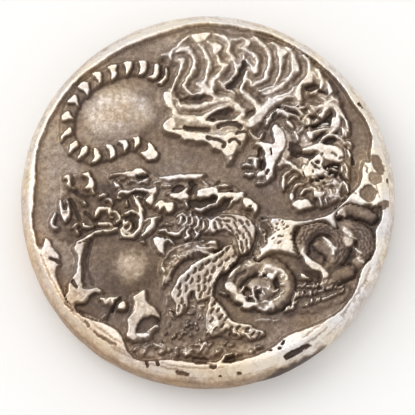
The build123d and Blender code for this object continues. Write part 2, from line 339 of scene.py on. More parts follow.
def pit(*flat, depth=0.28, dark=0.12):
    """Sinks a patch below what is round it and leaves it dark."""
    inward, part = within(flat, 0.3)
    fall = ease(inward, -0.08, 0.18) * grip[part]
    relief[part] -= depth * fall
    wear_and_painted_light = ease(inward, -0.06, 0.10) * grip[part]
    shine[part] += (dark - shine[part]) * wear_and_painted_light


CREST_SHINE = 0.26        # brighter for each millimetre above what lies round it
HOLLOW_LIMIT = -0.14      # and no hollow counts as deeper than this
# painted light: how much brighter a slope is for facing up and to the left, towards the main light
PAINTED_SLOPE_LIGHT = 0.20


def surface_height(x, y, height):
    """The face's real height over a point: the sheet, lowered where the edge rounds off."""
    inset = blank_radius(np.arctan2(y, x)) - np.hypot(x, y)
    drop = edge_drop(inset)
    return np.minimum(FIELD_Z + height, THICKNESS) - drop


EDGE_LOSS = 0.035         # the rounded edge lies about this far inside the true oval
FLAT_DEPTH = 0.025
KNOCK_DEPTH = 0.010


def edge_wear(turn, z):
    """Shallow flats and knocks in the rounded edge, always inwards, in millimetres."""
    flats = np.sin(turn * 13 + 1.1 * np.sin(turn * 5)) * np.sin(z * 1.3 + 2 * np.sin(turn * 7))
    small = np.sin(turn * 61 + 2.0 * np.sin(z * 2.1)) * np.sin(z * 3.9 + turn * 23)
    return EDGE_LOSS + FLAT_DEPTH * flats + KNOCK_DEPTH * small


def closed_tile(name):
    """One piece of the sheet: its top, its walls, and a flat root inside the blank."""
    row, column = np.nonzero(owner == NAMES.index(name))
    # each cell holds four squares of the top and one square of the root
    top_row = np.concatenate([2 * row, 2 * row + 1, 2 * row, 2 * row + 1])
    top_column = np.concatenate([2 * column, 2 * column, 2 * column + 1, 2 * column + 1])
    top = np.zeros(relief.shape, bool)
    for down, right in ((0, 0), (1, 0), (1, 1), (0, 1)):
        top[top_row + down, top_column + right] = True
    root = np.zeros(relief.shape, bool)
    for down, right in ((0, 0), (2, 0), (2, 2), (0, 2)):
        root[2 * row + down, 2 * column + right] = True
    top_point = np.full(relief.shape, -1)
    top_point[top] = np.arange(top.sum())
    root_point = np.full(relief.shape, -1)
    root_point[root] = top.sum() + np.arange(root.sum())
    points = np.stack([across[top], along[top],
                       surface_height(across[top], along[top], relief[top])], 1)
    under = np.stack([across[root], along[root], np.full(root.sum(), FIELD_Z - ROOT_DEPTH)], 1)
    # crests are worn brighter and hollows keep their dark; slopes that face up and to the left are
    # brighter too, which is painted light from that side, weaker near the rim
    lift = relief - soften(relief, 0.38)
    east, north = np.gradient(soften(relief, PITCH, 1), PITCH)
    polish_and_painted_slope_light = np.clip(east - north, -1.2, 1.2) * (1 - 0.85 * ease(near_rim, 0.02, 0.3))
    wear_and_painted_light = (shine + CREST_SHINE * np.maximum(lift, HOLLOW_LIMIT) + PAINTED_SLOPE_LIGHT * polish_and_painted_slope_light)[top]
    frozen[top] = True
    faces = np.stack([top_point[top_row, top_column], top_point[top_row + 1, top_column],
                      top_point[top_row + 1, top_column + 1],
                      top_point[top_row, top_column + 1]], 1).tolist()
    faces += np.stack([root_point[2 * row, 2 * column], root_point[2 * row, 2 * column + 2],
                       root_point[2 * row + 2, 2 * column + 2],
                       root_point[2 * row + 2, 2 * column]], 1).tolist()
    # a wall goes down wherever the next cell belongs to another piece
    border = []
    padded = np.pad(owner, 1, constant_values=OFF_SHEET - 1)
    for (down, right), start, end in (((-1, 0), (0, 2), (0, 0)), ((0, -1), (0, 0), (2, 0)),
                                      ((1, 0), (2, 0), (2, 2)), ((0, 1), (2, 2), (0, 2))):
        beside = padded[row + 1 + down, column + 1 + right]
        for i, j, other in zip(row, column, beside):
            if other == owner[i, j]:
                continue
            a = (2 * i + start[0], 2 * j + start[1])
            b = (2 * i + end[0], 2 * j + end[1])
            m = ((a[0] + b[0]) // 2, (a[1] + b[1]) // 2)
            wall = (top_point[a], top_point[m], top_point[b], root_point[a], root_point[b])
            if other == OFF_SHEET:
                border.append(wall)
            else:
                faces.append([wall[2], wall[1], wall[0], wall[3], wall[4]])
    return np.vstack([points, under]), faces, wear_and_painted_light, border


SHARP_FROM = math.radians(70)
UNDER_SHINE = 0.3         # how bright the hidden walls and roots are
TAN_STRENGTH = 0.78
TAN = (0.86, 0.68, 0.48)
BLOTCH_SCALE = 2300       # the tarnish is patchy at about half a millimetre
BLOTCH_DEPTH = 0.78
BLOTCH_SHIFT = -0.38
TINT_SCALE = 210          # and drifts from cool to warm over some millimetres
TINTS = [(0.36, (0.97, 0.97, 1.02)), (0.62, (1.05, 0.99, 0.88))]
PORE_SCALE = 3600
PORE_DEPTH = 0.00007      # metres
DARK_METAL = 0.35         # how metallic the tarnish looks, and the bare silver
BRIGHT_METAL = 0.95
TARNISH = [(0.0, (0.060, 0.040, 0.031)), (0.22, (0.130, 0.090, 0.068)),
           (0.42, (0.235, 0.176, 0.133)), (0.66, (0.440, 0.365, 0.300)),
           (0.90, (0.760, 0.705, 0.645)), (1.0, (0.900, 0.860, 0.810))]
POLISHED_GLOSS = (0.60, 0.30)  # roughness where dark, and where bright


def cast(name, points, faces, wear_and_painted_light):
    """Makes one closed silver mesh from points in millimetres, with its wear, painted light and
    painted shade on each point.
    """
    mesh = bpy.data.meshes.new(name)
    mesh.from_pydata((np.asarray(points) * MM).tolist(), [], faces)
    mesh.update()
    mesh.shade_smooth()
    mesh.set_sharp_from_angle(angle=SHARP_FROM)
    full = np.full(len(mesh.vertices), UNDER_SHINE, np.float32)
    full[:len(wear_and_painted_light)] = np.clip(wear_and_painted_light, 0, 1)
    mesh.attributes.new("shine", "FLOAT", "POINT").data.foreach_set("value", full)
    x, y, z = np.asarray(points).T
    # the warm tan lies on the outer left and the lower left, and over the upper pearl
    outer = ease(np.hypot(x, y), 15.8, 18.2)
    tan = outer * ease(-0.75 * x - y, 8, 20) * (0.65 + 0.45 * ease(-z, -5.0, -3.6))
    tan = tan + 0.10 * outer * ease(-x, 2, 14)
    tan = tan + 0.30 * ease(-y + 0.2 * x, 12.5, 16.5) * (1 - outer)
    tan = tan * ease(z, 0.1, 1.0)
    blush = 1 - ((x + 8.6) / 3.6) ** 2 - ((y - 8.4) / 2.4) ** 2
    tan = tan + 0.30 * ease(blush, 0, 0.8)
    mesh.attributes.new("tan", "FLOAT", "POINT").data.foreach_set(
        "value", np.clip(TAN_STRENGTH * tan, 0, 1).astype(np.float32))
    piece = bpy.data.objects.new(name, mesh)
    bpy.context.scene.collection.objects.link(piece)
    return piece


def grow(tree, kind, sockets, **options):
    """Adds a node: its options first, then each socket's own value or the output it takes."""
    node = tree.nodes.new(kind)
    for option, value in options.items():
        setattr(node, option, value)
    for socket, value in sockets.items():
        if isinstance(value, bpy.types.NodeSocket):
            tree.links.new(value, node.inputs[socket])
        else:
            node.inputs[socket].default_value = value
    return node


def ramp(tree, fac, stops):
    """Adds a colour ramp with those stops, each a place and a colour."""
    node = grow(tree, "ShaderNodeValToRGB", {"Fac": fac})
    while len(node.color_ramp.elements) < len(stops):
        node.color_ramp.elements.new(0.5)
    for element, (place, colour) in zip(node.color_ramp.elements, stops):
        element.position = place
        element.color = (*colour, 1)
    return node.outputs["Color"]


def silver(name, stops, roughness, bump):
    """Silver that is bright where it has worn and where light is painted into its shine, and
    brown-violet with tarnish where it has not; painted shade darkens it the same way.
    """
    material = bpy.data.materials.new(name)
    material.use_nodes = True
    tree = material.node_tree
    tree.nodes.clear()
    wear_and_painted_light_node = grow(tree, "ShaderNodeAttribute", {}, attribute_name="shine")
    place = grow(tree, "ShaderNodeTexCoord", {}).outputs["Object"]
    blotch = grow(tree, "ShaderNodeTexNoise",
                  {"Vector": place, "Scale": BLOTCH_SCALE, "Detail": 6, "Roughness": 0.75})
    uneven = grow(tree, "ShaderNodeMath",
                  {0: blotch.outputs["Fac"], 1: BLOTCH_DEPTH, 2: BLOTCH_SHIFT},
                  operation="MULTIPLY_ADD")
    amount = grow(tree, "ShaderNodeMath", {0: wear_and_painted_light_node.outputs["Fac"], 1: uneven.outputs["Value"]},
                  operation="ADD", use_clamp=True).outputs["Value"]
    gloss = grow(tree, "ShaderNodeMapRange",
                 {"Value": amount, "To Min": roughness[0], "To Max": roughness[1]})
    metal = grow(tree, "ShaderNodeMapRange",
                 {"Value": amount, "To Min": DARK_METAL, "To Max": BRIGHT_METAL})
    tint = grow(tree, "ShaderNodeTexNoise", {"Vector": place, "Scale": TINT_SCALE, "Detail": 3})
    stain_and_painted_shadow = grow(tree, "ShaderNodeMix",
                 {"Factor": 1.0, "A": ramp(tree, amount, stops),
                  "B": ramp(tree, tint.outputs["Fac"], TINTS)},
                 data_type="RGBA", blend_type="MULTIPLY")
    tan = grow(tree, "ShaderNodeAttribute", {}, attribute_name="tan")
    warm = grow(tree, "ShaderNodeMix",
                {"Factor": tan.outputs["Fac"], "A": stain_and_painted_shadow.outputs["Result"], "B": (*TAN, 1)},
                data_type="RGBA", blend_type="MULTIPLY")
    pores = grow(tree, "ShaderNodeTexNoise", {"Vector": place, "Scale": PORE_SCALE, "Detail": 5})
    dents = grow(tree, "ShaderNodeBump",
                 {"Strength": bump, "Distance": PORE_DEPTH, "Height": pores.outputs["Fac"]})
    shader = grow(tree, "ShaderNodeBsdfPrincipled",
                  {"Base Color": warm.outputs["Result"], "Metallic": metal.outputs["Result"],
                   "Roughness": gloss.outputs["Result"], "Normal": dents.outputs["Normal"]})
    grow(tree, "ShaderNodeOutputMaterial", {"Surface": shader.outputs["BSDF"]})
    return material


EDGE_SHINE = 0.84         # brightness of the clean edge, and what its patches, its painted shadow and its darker front change
EDGE_PATCHES = 0.06
PAINTED_SHADOW_DARK = 0.70
FRONT_DARK = 0.26
patches = [(n, chance.uniform(0, 6.3), chance.uniform(-2.5, 2.5)) for n in
           (2, 3, 5, 7, 11, 13, 17, 23, 29, 37, 43, 59, 71, 89)]


def side_wear_and_painted_shadow(turn, z):
    """How bright the rounded edge is: patchy, with one ragged painted shadow low on the right where
    the edge turns under, and darker low down on the front.
    """
    blot = sum(np.sin(n * turn + start + rise * z) for n, start, rise in patches) / 3.7
    low = np.degrees(np.mod(turn, 2 * math.pi)) + 3.0 * blot
    # painted shadow: a ragged dark band low on the lower right of the edge
    stain_and_painted_shadow = ease(low, 285, 292) * (1 - ease(low, 302, 312)) * ease(z + 0.5 * blot, 1.4, 2.4)
    stain_and_painted_shadow = stain_and_painted_shadow * (1 - ease(z + 0.4 * blot, 3.9, 4.6)) * (0.9 + 0.1 * blot)
    front = ease(low, 195, 235) * (1 - ease(low, 285, 320)) * (1 - ease(z, 4.2, 5.0))
    return EDGE_SHINE + EDGE_PATCHES * blot - PAINTED_SHADOW_DARK * stain_and_painted_shadow - FRONT_DARK * front


SILVER = {"polished_silver": silver("bright_struck_silver", TARNISH, POLISHED_GLOSS, 0.5)}


def finish_piece(piece, node, finish):
    """Gives a piece its silver and puts it in the coin in place of its CAD part."""
    piece.data.materials.append(SILVER[finish])
    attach(piece, "root")
    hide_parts(node)



hold(0.25)
# the wider stretch low on the left, and the hollows and nicks of the wide silver at the right
land(-16.8,-4.3, -16.3,-4.7, -15.9,-5.5, -15.4,-5.9, -15.3,-7, -15.7,-7.6, -15.5,-9, -15.1,-10,
     -16.2,-8, -16.9,-6.2)
groove(0.3, -16.2,-6.4, -15.8,-6.55, -15.4,-6.8)
pit(17,4.5, 17.7,4.4, 18.3,3.2, 18.2,2.3, 17.4,2.8, 17,3.6, depth=0.2, dark=0.40)
pit(16.7,2.6, 17.8,2.6, 18.1,1.7, 17.3,1.3, 16.7,1.8, depth=0.16, dark=0.50)
pit(15.8,0.9, 16.7,1.4, 17.5,0.6, 16.9,-0.5, 15.9,-0.1, depth=0.2, dark=0.38)
groove(0.3, 18.7,1.9, 18.75,1.2, dark=0.3)
pit(17.6,-0.7, 18.5,-0.3, 18.75,-0.9, 17.9,-1.4, depth=0.16, dark=0.36)
ridge(0.25, 17,-0.9, 18,-0.2)
for x, y, dx, dy in ((15.2, 3.2, 0.5, -1.2), (16.2, 3.6, 0.3, -0.9), (14.6, 0.9, 0.8, -0.5),
                     (15.4, 2.2, 0.3, -0.9)):
    groove(0.22, x,y, x + dx / 2 + 0.1,y + dy / 2, x + dx,y + dy, depth=0.10, dark=0.5)
# long fine marks round the lower half: first and last angle in degrees, and radius
for low, high, radius in ((200, 222, 18.35), (216, 246, 18.2), (238, 262, 18.45), (255, 275, 18.1),
                          (296, 312, 18.3), (318, 336, 18.45), (225, 240, 17.6), (304, 316, 17.6)):
    mark = []
    for share in np.linspace(0, 1, 6):
        t = math.radians(low + (high - low) * share)
        mark += [(radius + 0.12 * math.sin(5 * t)) * math.cos(t),
                 (radius + 0.12 * math.sin(5 * t)) * math.sin(t)]
    groove(0.22, *mark, depth=0.03, dark=0.70)
groove(0.2, 15.6,10, 16.2,9.3)
groove(0.2, 18.2,4.7, 18.3,4.4)
groove(0.25, -14.7,-11.1, -13.8,-11.9, depth=0.15, dark=0.45)
groove(0.25, -12.6,-13.1, -12.2,-13.6, depth=0.15, dark=0.45)
groove(0.25, -11.6,-14.2, -10.9,-14.7, -10,-15.2, -9.4,-15.5, depth=0.15, dark=0.45)
pit(-1.5,-16.7, 0,-16.8, 0.1,-17.4, -1.2,-17.5, depth=0.2, dark=0.3)
pit(1.6,-16.7, 2.8,-16.6, 2.6,-17.4, 1.8,-17.4, depth=0.2, dark=0.3)
pit(0.2,-17.5, 1,-17.6, 0.8,-18, 0.3,-18)
ridge(0.3, 0,-17.3, 0.9,-17.5, 1.5,-17.1, 1.8,-16.6, 2.5,-16.4)
groove(0.25, -6.3,-17.2, -6.1,-17.6)
groove(0.25, -5.2,-17.2, -5.1,-17.6)
groove(0.3, -3.1,-18.3, -2,-18.5, dark=0.3)
groove(0.25, 1.2,-18.75, 1.5,-18.8, dark=0.3)
groove(0.25, 3.1,-18.45, 3.4,-18.5, dark=0.3)
groove(0.2, 6.3,-16.1, 6.6,-16.1)
groove(0.2, 7.3,-15.9, 7.5,-15.8)
groove(0.2, 7.7,-15.4, 7.9,-15.2)
pit(7.8,-16.7, 9,-15.9, 10.6,-15.3, 10.4,-15.7, 9.3,-16.4, 8.6,-17, depth=0.35, dark=0.05)
# painted highlight: the rim is made brighter towards the top of the coin, standing in for the
# overhead light's reflection there
painted_rim_top_highlight = ease(along + 0.2 * np.abs(across), 11, 17) * grip
shine[:] += 0.16 * painted_rim_top_highlight * (near_rim > 0.5)
points, faces, wear_and_painted_light, border = closed_tile("rim")
points = points.tolist()
wear_and_painted_light = wear_and_painted_light.tolist() + [UNDER_SHINE] * (len(points) - len(wear_and_painted_light))
# the sheet's outer border is followed once round, and rounded to the true edge
RIM_SPARE = 0.01          # the rim's edge starts that far below the highest points
OVERLAP = 0.02            # and ends that far below the field, inside the flan's edge
pairs = {}
for a, m, b, low_a, low_b in border:
    pairs[a] = (m, low_a)
    pairs[m] = (b, None)
start = border[0][0]
loop = [start]
while pairs[loop[-1]][0] != start:
    loop.append(pairs[loop[-1]][0])
loop_points = np.array([points[k] for k in loop])
loop_turn = np.unwrap(np.arctan2(loop_points[:, 1], loop_points[:, 0]))
order = 1 if loop_turn[-1] > loop_turn[0] else -1
for k, t in zip(loop, loop_turn):
    wide = blank_radius(t) - EDGE_WIDTH
    points[k] = [wide * math.cos(t), wide * math.sin(t), 0]
    near = points[k]
    points[k][2] = float(surface_height(near[0], near[1], RELIEF_DEPTH - RIM_SPARE))
# rings of points from the sheet's border over the rounded edge and down to the flan
FALL = (0.08, 0.2, 0.36, 0.54, 0.72, 0.86, 1.0)
last = list(loop)
for share in FALL:
    ring = []
    for k, t in zip(loop, loop_turn):
        top_z = points[k][2]
        z = top_z + (FIELD_Z - OVERLAP - top_z) * share
        wide = blank_radius(t) - edge_inset(z) - float(edge_wear(t, z)) * min(1.0, share * 2)
        ring.append(len(points))
        points.append([wide * math.cos(t), wide * math.sin(t), z])
        wear_and_painted_light.append(side_wear_and_painted_shadow(t, z))
    for k in range(len(loop)):
        n = (k + 1) % len(loop)
        face = [last[k], last[n], ring[n], ring[k]]
        faces.append(face if order < 0 else face[::-1])
    last = ring
down = dict(zip(loop, last))
for a, m, b, low_a, low_b in border:
    faces.append([down[b], down[m], down[a], low_a, low_b])
finish_piece(cast("rim_struck", points, faces, wear_and_painted_light), "rim", "polished_silver")


# The dividing band: the smooth strip of plain silver between the tiger's half and the
# dragon's. It stands as high as the rim, runs into it at both ends and is worn as bright.


def cut_out(node, finish):
    """Cuts one finished figure out of the sheet and sets it in the coin."""
    points, faces, wear_and_painted_light, _ = closed_tile(node)
    finish_piece(cast(node + "_struck", points, faces, wear_and_painted_light), node, finish)


hold(0.2)
for x, y in ((7.5, -2.4), (7.75, -2.6), (7.2, -2.85), (7.9, -2.9), (8.0, -3.3), (7.1, -3.3),
             (6.95, -3.7), (7.35, -3.5), (8.3, -3.1), (7.4, -4.1), (7.7, -4.1), (6.8, -4.4),
             (7.45, -4.8), (8.6, -3.9), (8.7, -4.5)):
    groove(0.16, x - 0.07,y, x + 0.09,y + 0.05, depth=0.12, dark=0.35)
pit(8.8,-3.3, 9.9,-3.3, 9.9,-6, 9.1,-6.3, depth=0.12, dark=0.55)
for y in (-3.6, -4.0, -4.4, -4.8, -5.2, -5.6):
    groove(0.12, 8.9,y, 9.4,y - 0.1, 9.9,y - 0.25, depth=0.10, dark=0.35)
pit(6.1,-2, 6.6,-2.1, 6.5,-2.6, 6.2,-2.5, depth=0.2, dark=0.3)
cut_out("dividing_band", "polished_silver")


# The two pearls: low smooth domes of the coin's own silver, one in the curl of each
# animal. They are dark with tarnish, and only their crowns have been rubbed pale.

OXIDISED_GLOSS = (0.62, 0.34)
SILVER["oxidised_silver"] = silver("dark_struck_silver", TARNISH, OXIDISED_GLOSS, 0.8)

hold()
dome = np.clip(1 - ((across + 9.2) / 4.3) ** 2 - ((along - 8.9) / 3.1) ** 2, 0, 1) * grip
relief[:] += 0.40 * dome**1.2 * (1 + 0.03 * grain)
shine[:] += (0.25 * ease(dome + 0.10 * swell + 0.05 * grain, 0.12, 0.75) + 0.04 * grain * dome)
cut_out("upper_pearl", "oxidised_silver")
hold()
dome = np.clip(1 - ((across + 8.9) / 3.9) ** 2 - ((along + 7.2) / 3.2) ** 2, 0, 1) * grip
relief[:] += 0.38 * dome**1.2 * (1 + 0.03 * grain)
near = np.hypot(across + 7.9, along + 7.2)
shine[:] += 0.40 * ease(2.3 - near + 0.3 * grain, 0, 1.5) * grip - 0.05 * dome
groove(0.3, -11.9,-4.5, -12.3,-5.8, -12.4,-7.4, -11.8,-9, depth=0.10, dark=0.16)
cut_out("lower_pearl", "oxidised_silver")


# The tiger's tail: a thick tapering cord in relief that curls over the upper pearl, with
# raised stripes across it, each of its own shape and worn bright.

hold(0.22)
groove(0.5, -4.9,13.0, -5.0,13.4, -4.9,13.8, depth=0.12, dark=0.25)
land(-4.3,14, -4.1,13.6, -4.2,13, -4.2,12.6, -4.7,12, -5.2,12.2, -4.65,12.6, -4.45,13)
land(-5.5,14.15, -5.05,14.1, -5.0,13.2, -5.4,12.5, -6.2,12.75, -5.65,13.1, -5.55,13.6)
land(-7.2,14.5, -6.4,14.5, -6.3,13.9, -6.5,13.2, -7.2,12.95, -6.95,13.5, -7,14)
land(-8.8,14.4, -7.9,14.4, -8,13.5, -8.45,13, -8.55,13.7)
land(-10.35,14, -9.4,14.1, -9.45,13.3, -9.5,12.8, -9.95,12.4, -10,13, -10.1,13.4)
land(-12.05,13.2, -11.1,13.45, -10.9,12.95, -11,12.4, -11.3,11.8, -11.4,12.35, -11.55,12.6,
     -11.9,12.95)
land(-13.5,11.7, -12.9,12.3, -12.35,12.2, -12.2,11.6, -12.35,10.9, -12.5,10.7, -12.85,11.3)
land(-14.5,10.1, -13.8,10.9, -13.45,10.5, -13.35,9.6, -13.7,9.9)
land(-15.1,8.1, -15,8.9, -14.4,9.15, -14.1,8.6, -13.8,8.35, -14.3,8.2)
land(-14.2,7.45, -14.75,7.1, -15.1,6.6, -15.15,6, -14.7,6.4, -14,6.8)
land(-13.7,6, -14.3,5.4, -14.35,4.7, -13.9,5, -13.35,5.6)
land(-12.5,5.5, -13.1,5, -13.45,4, -12.9,4.3, -12.4,4.9)
land(-11.8,5.25, -11.3,5.2, -11.05,4.4, -11.3,3.85, -12.05,3.7, -11.75,4.2, -11.7,4.7)
land(-10.5,5.5, -9.9,5.55, -9.55,4.9, -9.65,4.3, -10.1,4, -10.15,4.5, -10.25,5)
land(-9.25,5.9, -8.6,6.2, -8.25,5.7, -8.3,5.2, -8.65,4.75, -8.75,5.2, -8.85,5.6)
land(-7.9,6.4, -7.4,6.7, -7,6.1, -7.05,5.7, -7.5,5.1, -7.55,5.7, -7.65,6.1)
land(-6.1,5.9, -5.6,5.4, -5.2,4.9, -5.15,4.4, -5.5,4, -6.1,3.95, -6.5,4.3, -6.95,4.7,
     -6.4,4.95, -6.2,5.3)
cut_out("tiger_tail", "polished_silver")


# The tiger's body: its humped back and flank, one low cushion of silver with wavy raised
# stripes running down it. The stripes have worn bright and the hollows stay dark.


def ground_of(name):
    """Where the sheet belongs wholly to one figure."""
    return (corners == NAMES.index(name)).all(0)


hold(0.75)
humps = np.sin(across * 0.45 + 0.6) * 0.5 + ease(along, 10, 14) - 0.4
relief[:] += 0.10 * ground_of("tiger_body") * humps
ridge(0.3, -4.8,15.1, -4.3,15.15)
ridge(0.2, -3.8,14.6, -3.85,15.2, -3.6,15.7, -3,16.2, -2.4,16.8, -1.9,17.1)
ridge(0.22, -3,14.6, -2.6,14.5, -2.65,14, -2.9,13.2, -3.3,12.2, -3.7,11.4, -3.8,11)
land(-2.9,14.6, -2.4,14.6, -2.6,14)
ridge(0.36, -3.1,15.5, -2.6,15.75, -2,15.6, -1.5,15.1, -1.35,14.5, -1.4,13.9, -1.7,13.2,
      -2.1,12.5, -2.4,11.8, -2.1,11.3, -1.5,10.85, -0.7,11, -0.3,11.2)
ridge(0.5, -2.6,15.85, -2.0,15.9)
land(-4.5,11.2, -3.7,11, -3.6,10.2, -3.3,9.5, -3.1,9, -3.6,9.1, -4.4,10.1)
ridge(0.22, -3.5,10.5, -3,10.2, -2.8,9.7, -2.2,9.55, -1,9.65, 0.2,9.95)
land(-1.5,17.3, 0.3,17.5, -0.1,16.8, -0.5,16.55, -1.2,16.5)
ridge(0.33, -0.8,16.2, -0.4,15.6, -0.1,15, 0.2,14.3, 0.2,13.8, 0,13.2, -0.2,12.5, -0.4,12.1,
      -0.1,11.5, 0.3,10.8, 0.8,10.5, 2.6,10.4)
ridge(0.35, -1.1,12, -0.5,11.6, 0.1,11.1, 0.5,10.7)
ridge(0.25, 0.6,12.3, 0.45,11.6, 0.5,11.1)
ridge(0.25, 0.1,16.5, 0.6,16.2)
land(0.6,16.3, 1.1,16.3, 1.5,15.9, 0.9,15.1, 0.7,15.3)
ridge(0.28, 1,15, 1.3,14.3, 1.7,13.9, 1.4,13.3, 1.1,12.9, 0.7,12.4, 0.6,12)
land(1.4,14.2, 2.1,14.2, 2,13.8, 1.6,13.7)
ridge(0.34, 0.9,17.3, 1.5,17.1, 2.1,16.7, 2.25,16.2, 2.2,15.4, 2.5,14.9, 2.8,14.4, 3,13.9,
      3.1,13.6, 3,13.1, 2.6,12.6, 2,12.1, 1.8,11.9)
ridge(0.2, 3,13.8, 3.55,14.2)
ridge(0.16, 1.3,12.3, 2,11.5, 2.8,11)
ridge(0.25, 2.6,16.75, 3.3,16.7)
land(3.6,16.9, 4.3,16.7, 4.5,16.3, 4.1,15.95, 3.6,15.95, 3.9,16.2, 4,16.6)
ridge(0.2, 3.5,15.85, 4.1,15.6, 4.7,15.2, 5,14.9)
land(5,15, 5.3,14.5, 5.3,13.5, 4.9,13.1, 4.7,13.6, 5,14.2)
ridge(0.18, 3.7,15, 3.75,14.6, 4.1,14.5, 4.5,14, 4.7,13.6)
groove(0.5, 3.8,14.3, 3.5,13.2, 2.8,12.3, 2.2,11.6, depth=0.3, dark=0.03)
ridge(0.28, 4.1,13.3, 4,12.8, 3.8,12.3, 3.6,11.8, 3.5,11.4, 3.9,10.9, 4.4,10.5, 4.9,10.1,
      5.1,9.6, 5.2,9.2)
ridge(0.16, 4.1,12.6, 4.5,12.3, 4.6,11.9)
ridge(0.38, 4.8,17, 5.4,16.5, 5.9,16, 6.3,15.5, 6.5,14.7, 6.4,13.9, 6.2,13.2, 6,12.6,
      5.5,12.3, 4.8,11.9)
ridge(0.28, 6.7,16.4, 7.3,16, 7.45,15.5, 7.6,15, 7.65,14.5, 7.6,13.8, 7.55,13.1, 7.3,12.7,
      7.1,12.2)
land(7.5,15.8, 8.3,15.4, 7.9,14.9, 7.6,14.3)
ridge(0.36, 8.2,15.9, 8.6,15.6, 8.9,15.1, 8.9,14.4, 8.9,13.5, 8.6,12.8, 8.1,12.2, 7.5,11.7,
      6.9,11.3, 6,11)
land(8.9,15, 9.2,14.5, 9.55,13.4, 9,13.5)
ridge(0.16, 5.3,11.3, 6.2,11.5, 6.9,11.8)
ridge(0.34, 10,15.1, 10.4,14.6, 10.6,14.1, 10.6,13.5)
land(10.55,13.4, 10.95,13, 10.9,12.2, 10.3,12.1, 9.9,11.9, 9.7,11.2, 9.8,10.3, 9.3,10.2,
     9.2,11, 9.4,11.9, 10,12.6)
ridge(0.32, 11.4,13.6, 11.7,13.1, 11.8,12.6, 11.9,12.1, 11.7,11.6, 11.3,11.3, 10.7,11.1)
ridge(0.15, 10.9,13.3, 11.3,12.8, 11.6,12.5)
land(12.4,12.3, 12.7,11.9, 13,11.4, 12.9,11, 12.3,10.7, 12.55,11.2)
pit(10.1,11.9, 11.5,12, 11.6,11.5, 10.6,11.3)
groove(0.25, 11.6,11.3, 12.4,11)
ridge(0.24, 8.9,11.7, 8.8,11.3, 8.2,11, 7.4,10.7, 6.9,10.4)
ridge(0.15, 9,10.7, 8.3,10.7, 7.6,10.4, 7.2,10.2)
land(6.3,10.5, 6.8,10.4, 6.8,9.9, 6.3,9.9)
ridge(0.24, 7,10.1, 6.3,9.6, 6,9, 5.6,8.5, 5.1,8, 4.8,7.6, 4.2,7.55)
ridge(0.2, 8,9.7, 8.6,9.6, 9.1,9.6, 9.5,9.9)
ridge(0.2, 10.7,9.8, 11.3,9.55)
pit(10,9.7, 11.4,9.4, 11.4,9, 10.2,9.1)
pit(3.5,8.4, 4,9, 4.9,9.3, 4.9,9, 4.3,8.4)
groove(0.4, 4.5,8.3, 5.8,9.5)
ridge(0.35, 11.9,10.6, 12.2,10.3)
ridge(0.35, 12.9,10.6, 13.5,10.1)
ridge(0.45, -3.5,8.9, -2.1,8.35, -0.6,8.3, 1.5,7.9, 3.3,8.0, 4.5,7.7, 5.5,8.7, 5.9,9.5, 7.1,10.3)
ridge(0.4, -0.6,8.3, 0.2,8.9, 1.5,9.5, 2.8,9.9)
ridge(0.7, 2.6,10.1, 3.3,9.4, 3.7,8.9, 3.2,8.3)
ridge(0.45, 4.1,10.8, 5.2,9.6, 5.4,8.9, 4.5,8.2)
ridge(0.3, -2.6,9.7, -1.1,9.6, 0.4,10.0, 2.2,10.4)
pit(0.0,8.4, 0.6,9.0, 2.1,9.5, 2.8,9.3, 1.9,8.4, 0.7,8.1, depth=0.14, dark=0.24)
pit(-2.8,10.4, -1.6,10.9, 0.0,10.9, 0.6,10.4, -1,10.0, depth=0.12, dark=0.26)
cut_out("tiger_body", "polished_silver")


# The tiger's hind leg: the long smooth heel and foot under the flank, worked rounder and
# worn brighter than the body, with the toes cut apart by short dark arcs.

hold(0.5)
land(-4.55,7.8, -4.3,8.15, -3.8,8.5, -3.4,8.4, -3.3,7.9, -3.4,7.4, -3,7.25, -2.4,7.2,
     -2.3,6.95, 0,6.7, 1.5,6.6, 2.5,6.9, 3,6.6, 3.9,6.9, 3.9,6.2, 3.1,5.45, 2.95,5, 2.6,4.5,
     2,4.35, 1.6,4.7, 1.2,5, 0.5,5.3, 0,5.85, -0.8,6, -2,6.1, -2.6,6.3, -3,6.65, -4.1,6.85,
     -4.5,7.3, top=0.82)
groove(0.2, -3.5,7.2, -2.7,7.3, depth=0.1, dark=0.35)
groove(0.4, -2.3,7.4, -1,7.3, 0.1,7.25)
ridge(0.55, -2.1,8.3, -1,8.3, -0.3,8.2)
ridge(0.25, 0.3,9, 1,9.3, 1.7,9.5, 2.4,9.8, 2.9,9.9)
pit(-0.2,8.2, 0.4,8.8, 1.4,9.3, 2.4,9.6, 2.95,9.4, 2.9,9, 2.2,8.6, 1.4,8.2, 0.3,8)
ridge(0.35, -0.4,7.9, 0.5,7.7, 1.2,7.9, 2.2,8.1, 3,8.7, 3.6,9.2, 4,9.8)
groove(0.4, 1.1,7.5, 1.8,7.8, 2.8,7.85, 3.4,7.5)
groove(0.3, 0,6.3, 0.8,6.15, 1.4,6, 1.8,5.6, 1.6,5.35, depth=0.22)
groove(0.25, 2.3,5.85, 2.5,6.15, 3,6.1, 3.4,5.7, depth=0.22)
groove(0.25, 3,6.7, 3.3,7, 3.9,6.9, depth=0.2)
ridge(0.2, 2.2,3.7, 2.6,4.15)
cut_out("tiger_hind_leg", "polished_silver")


# The tiger's foreleg: a bright upright column of fur that ends in a spread paw, with the
# hooked claws left as fine points of silver.

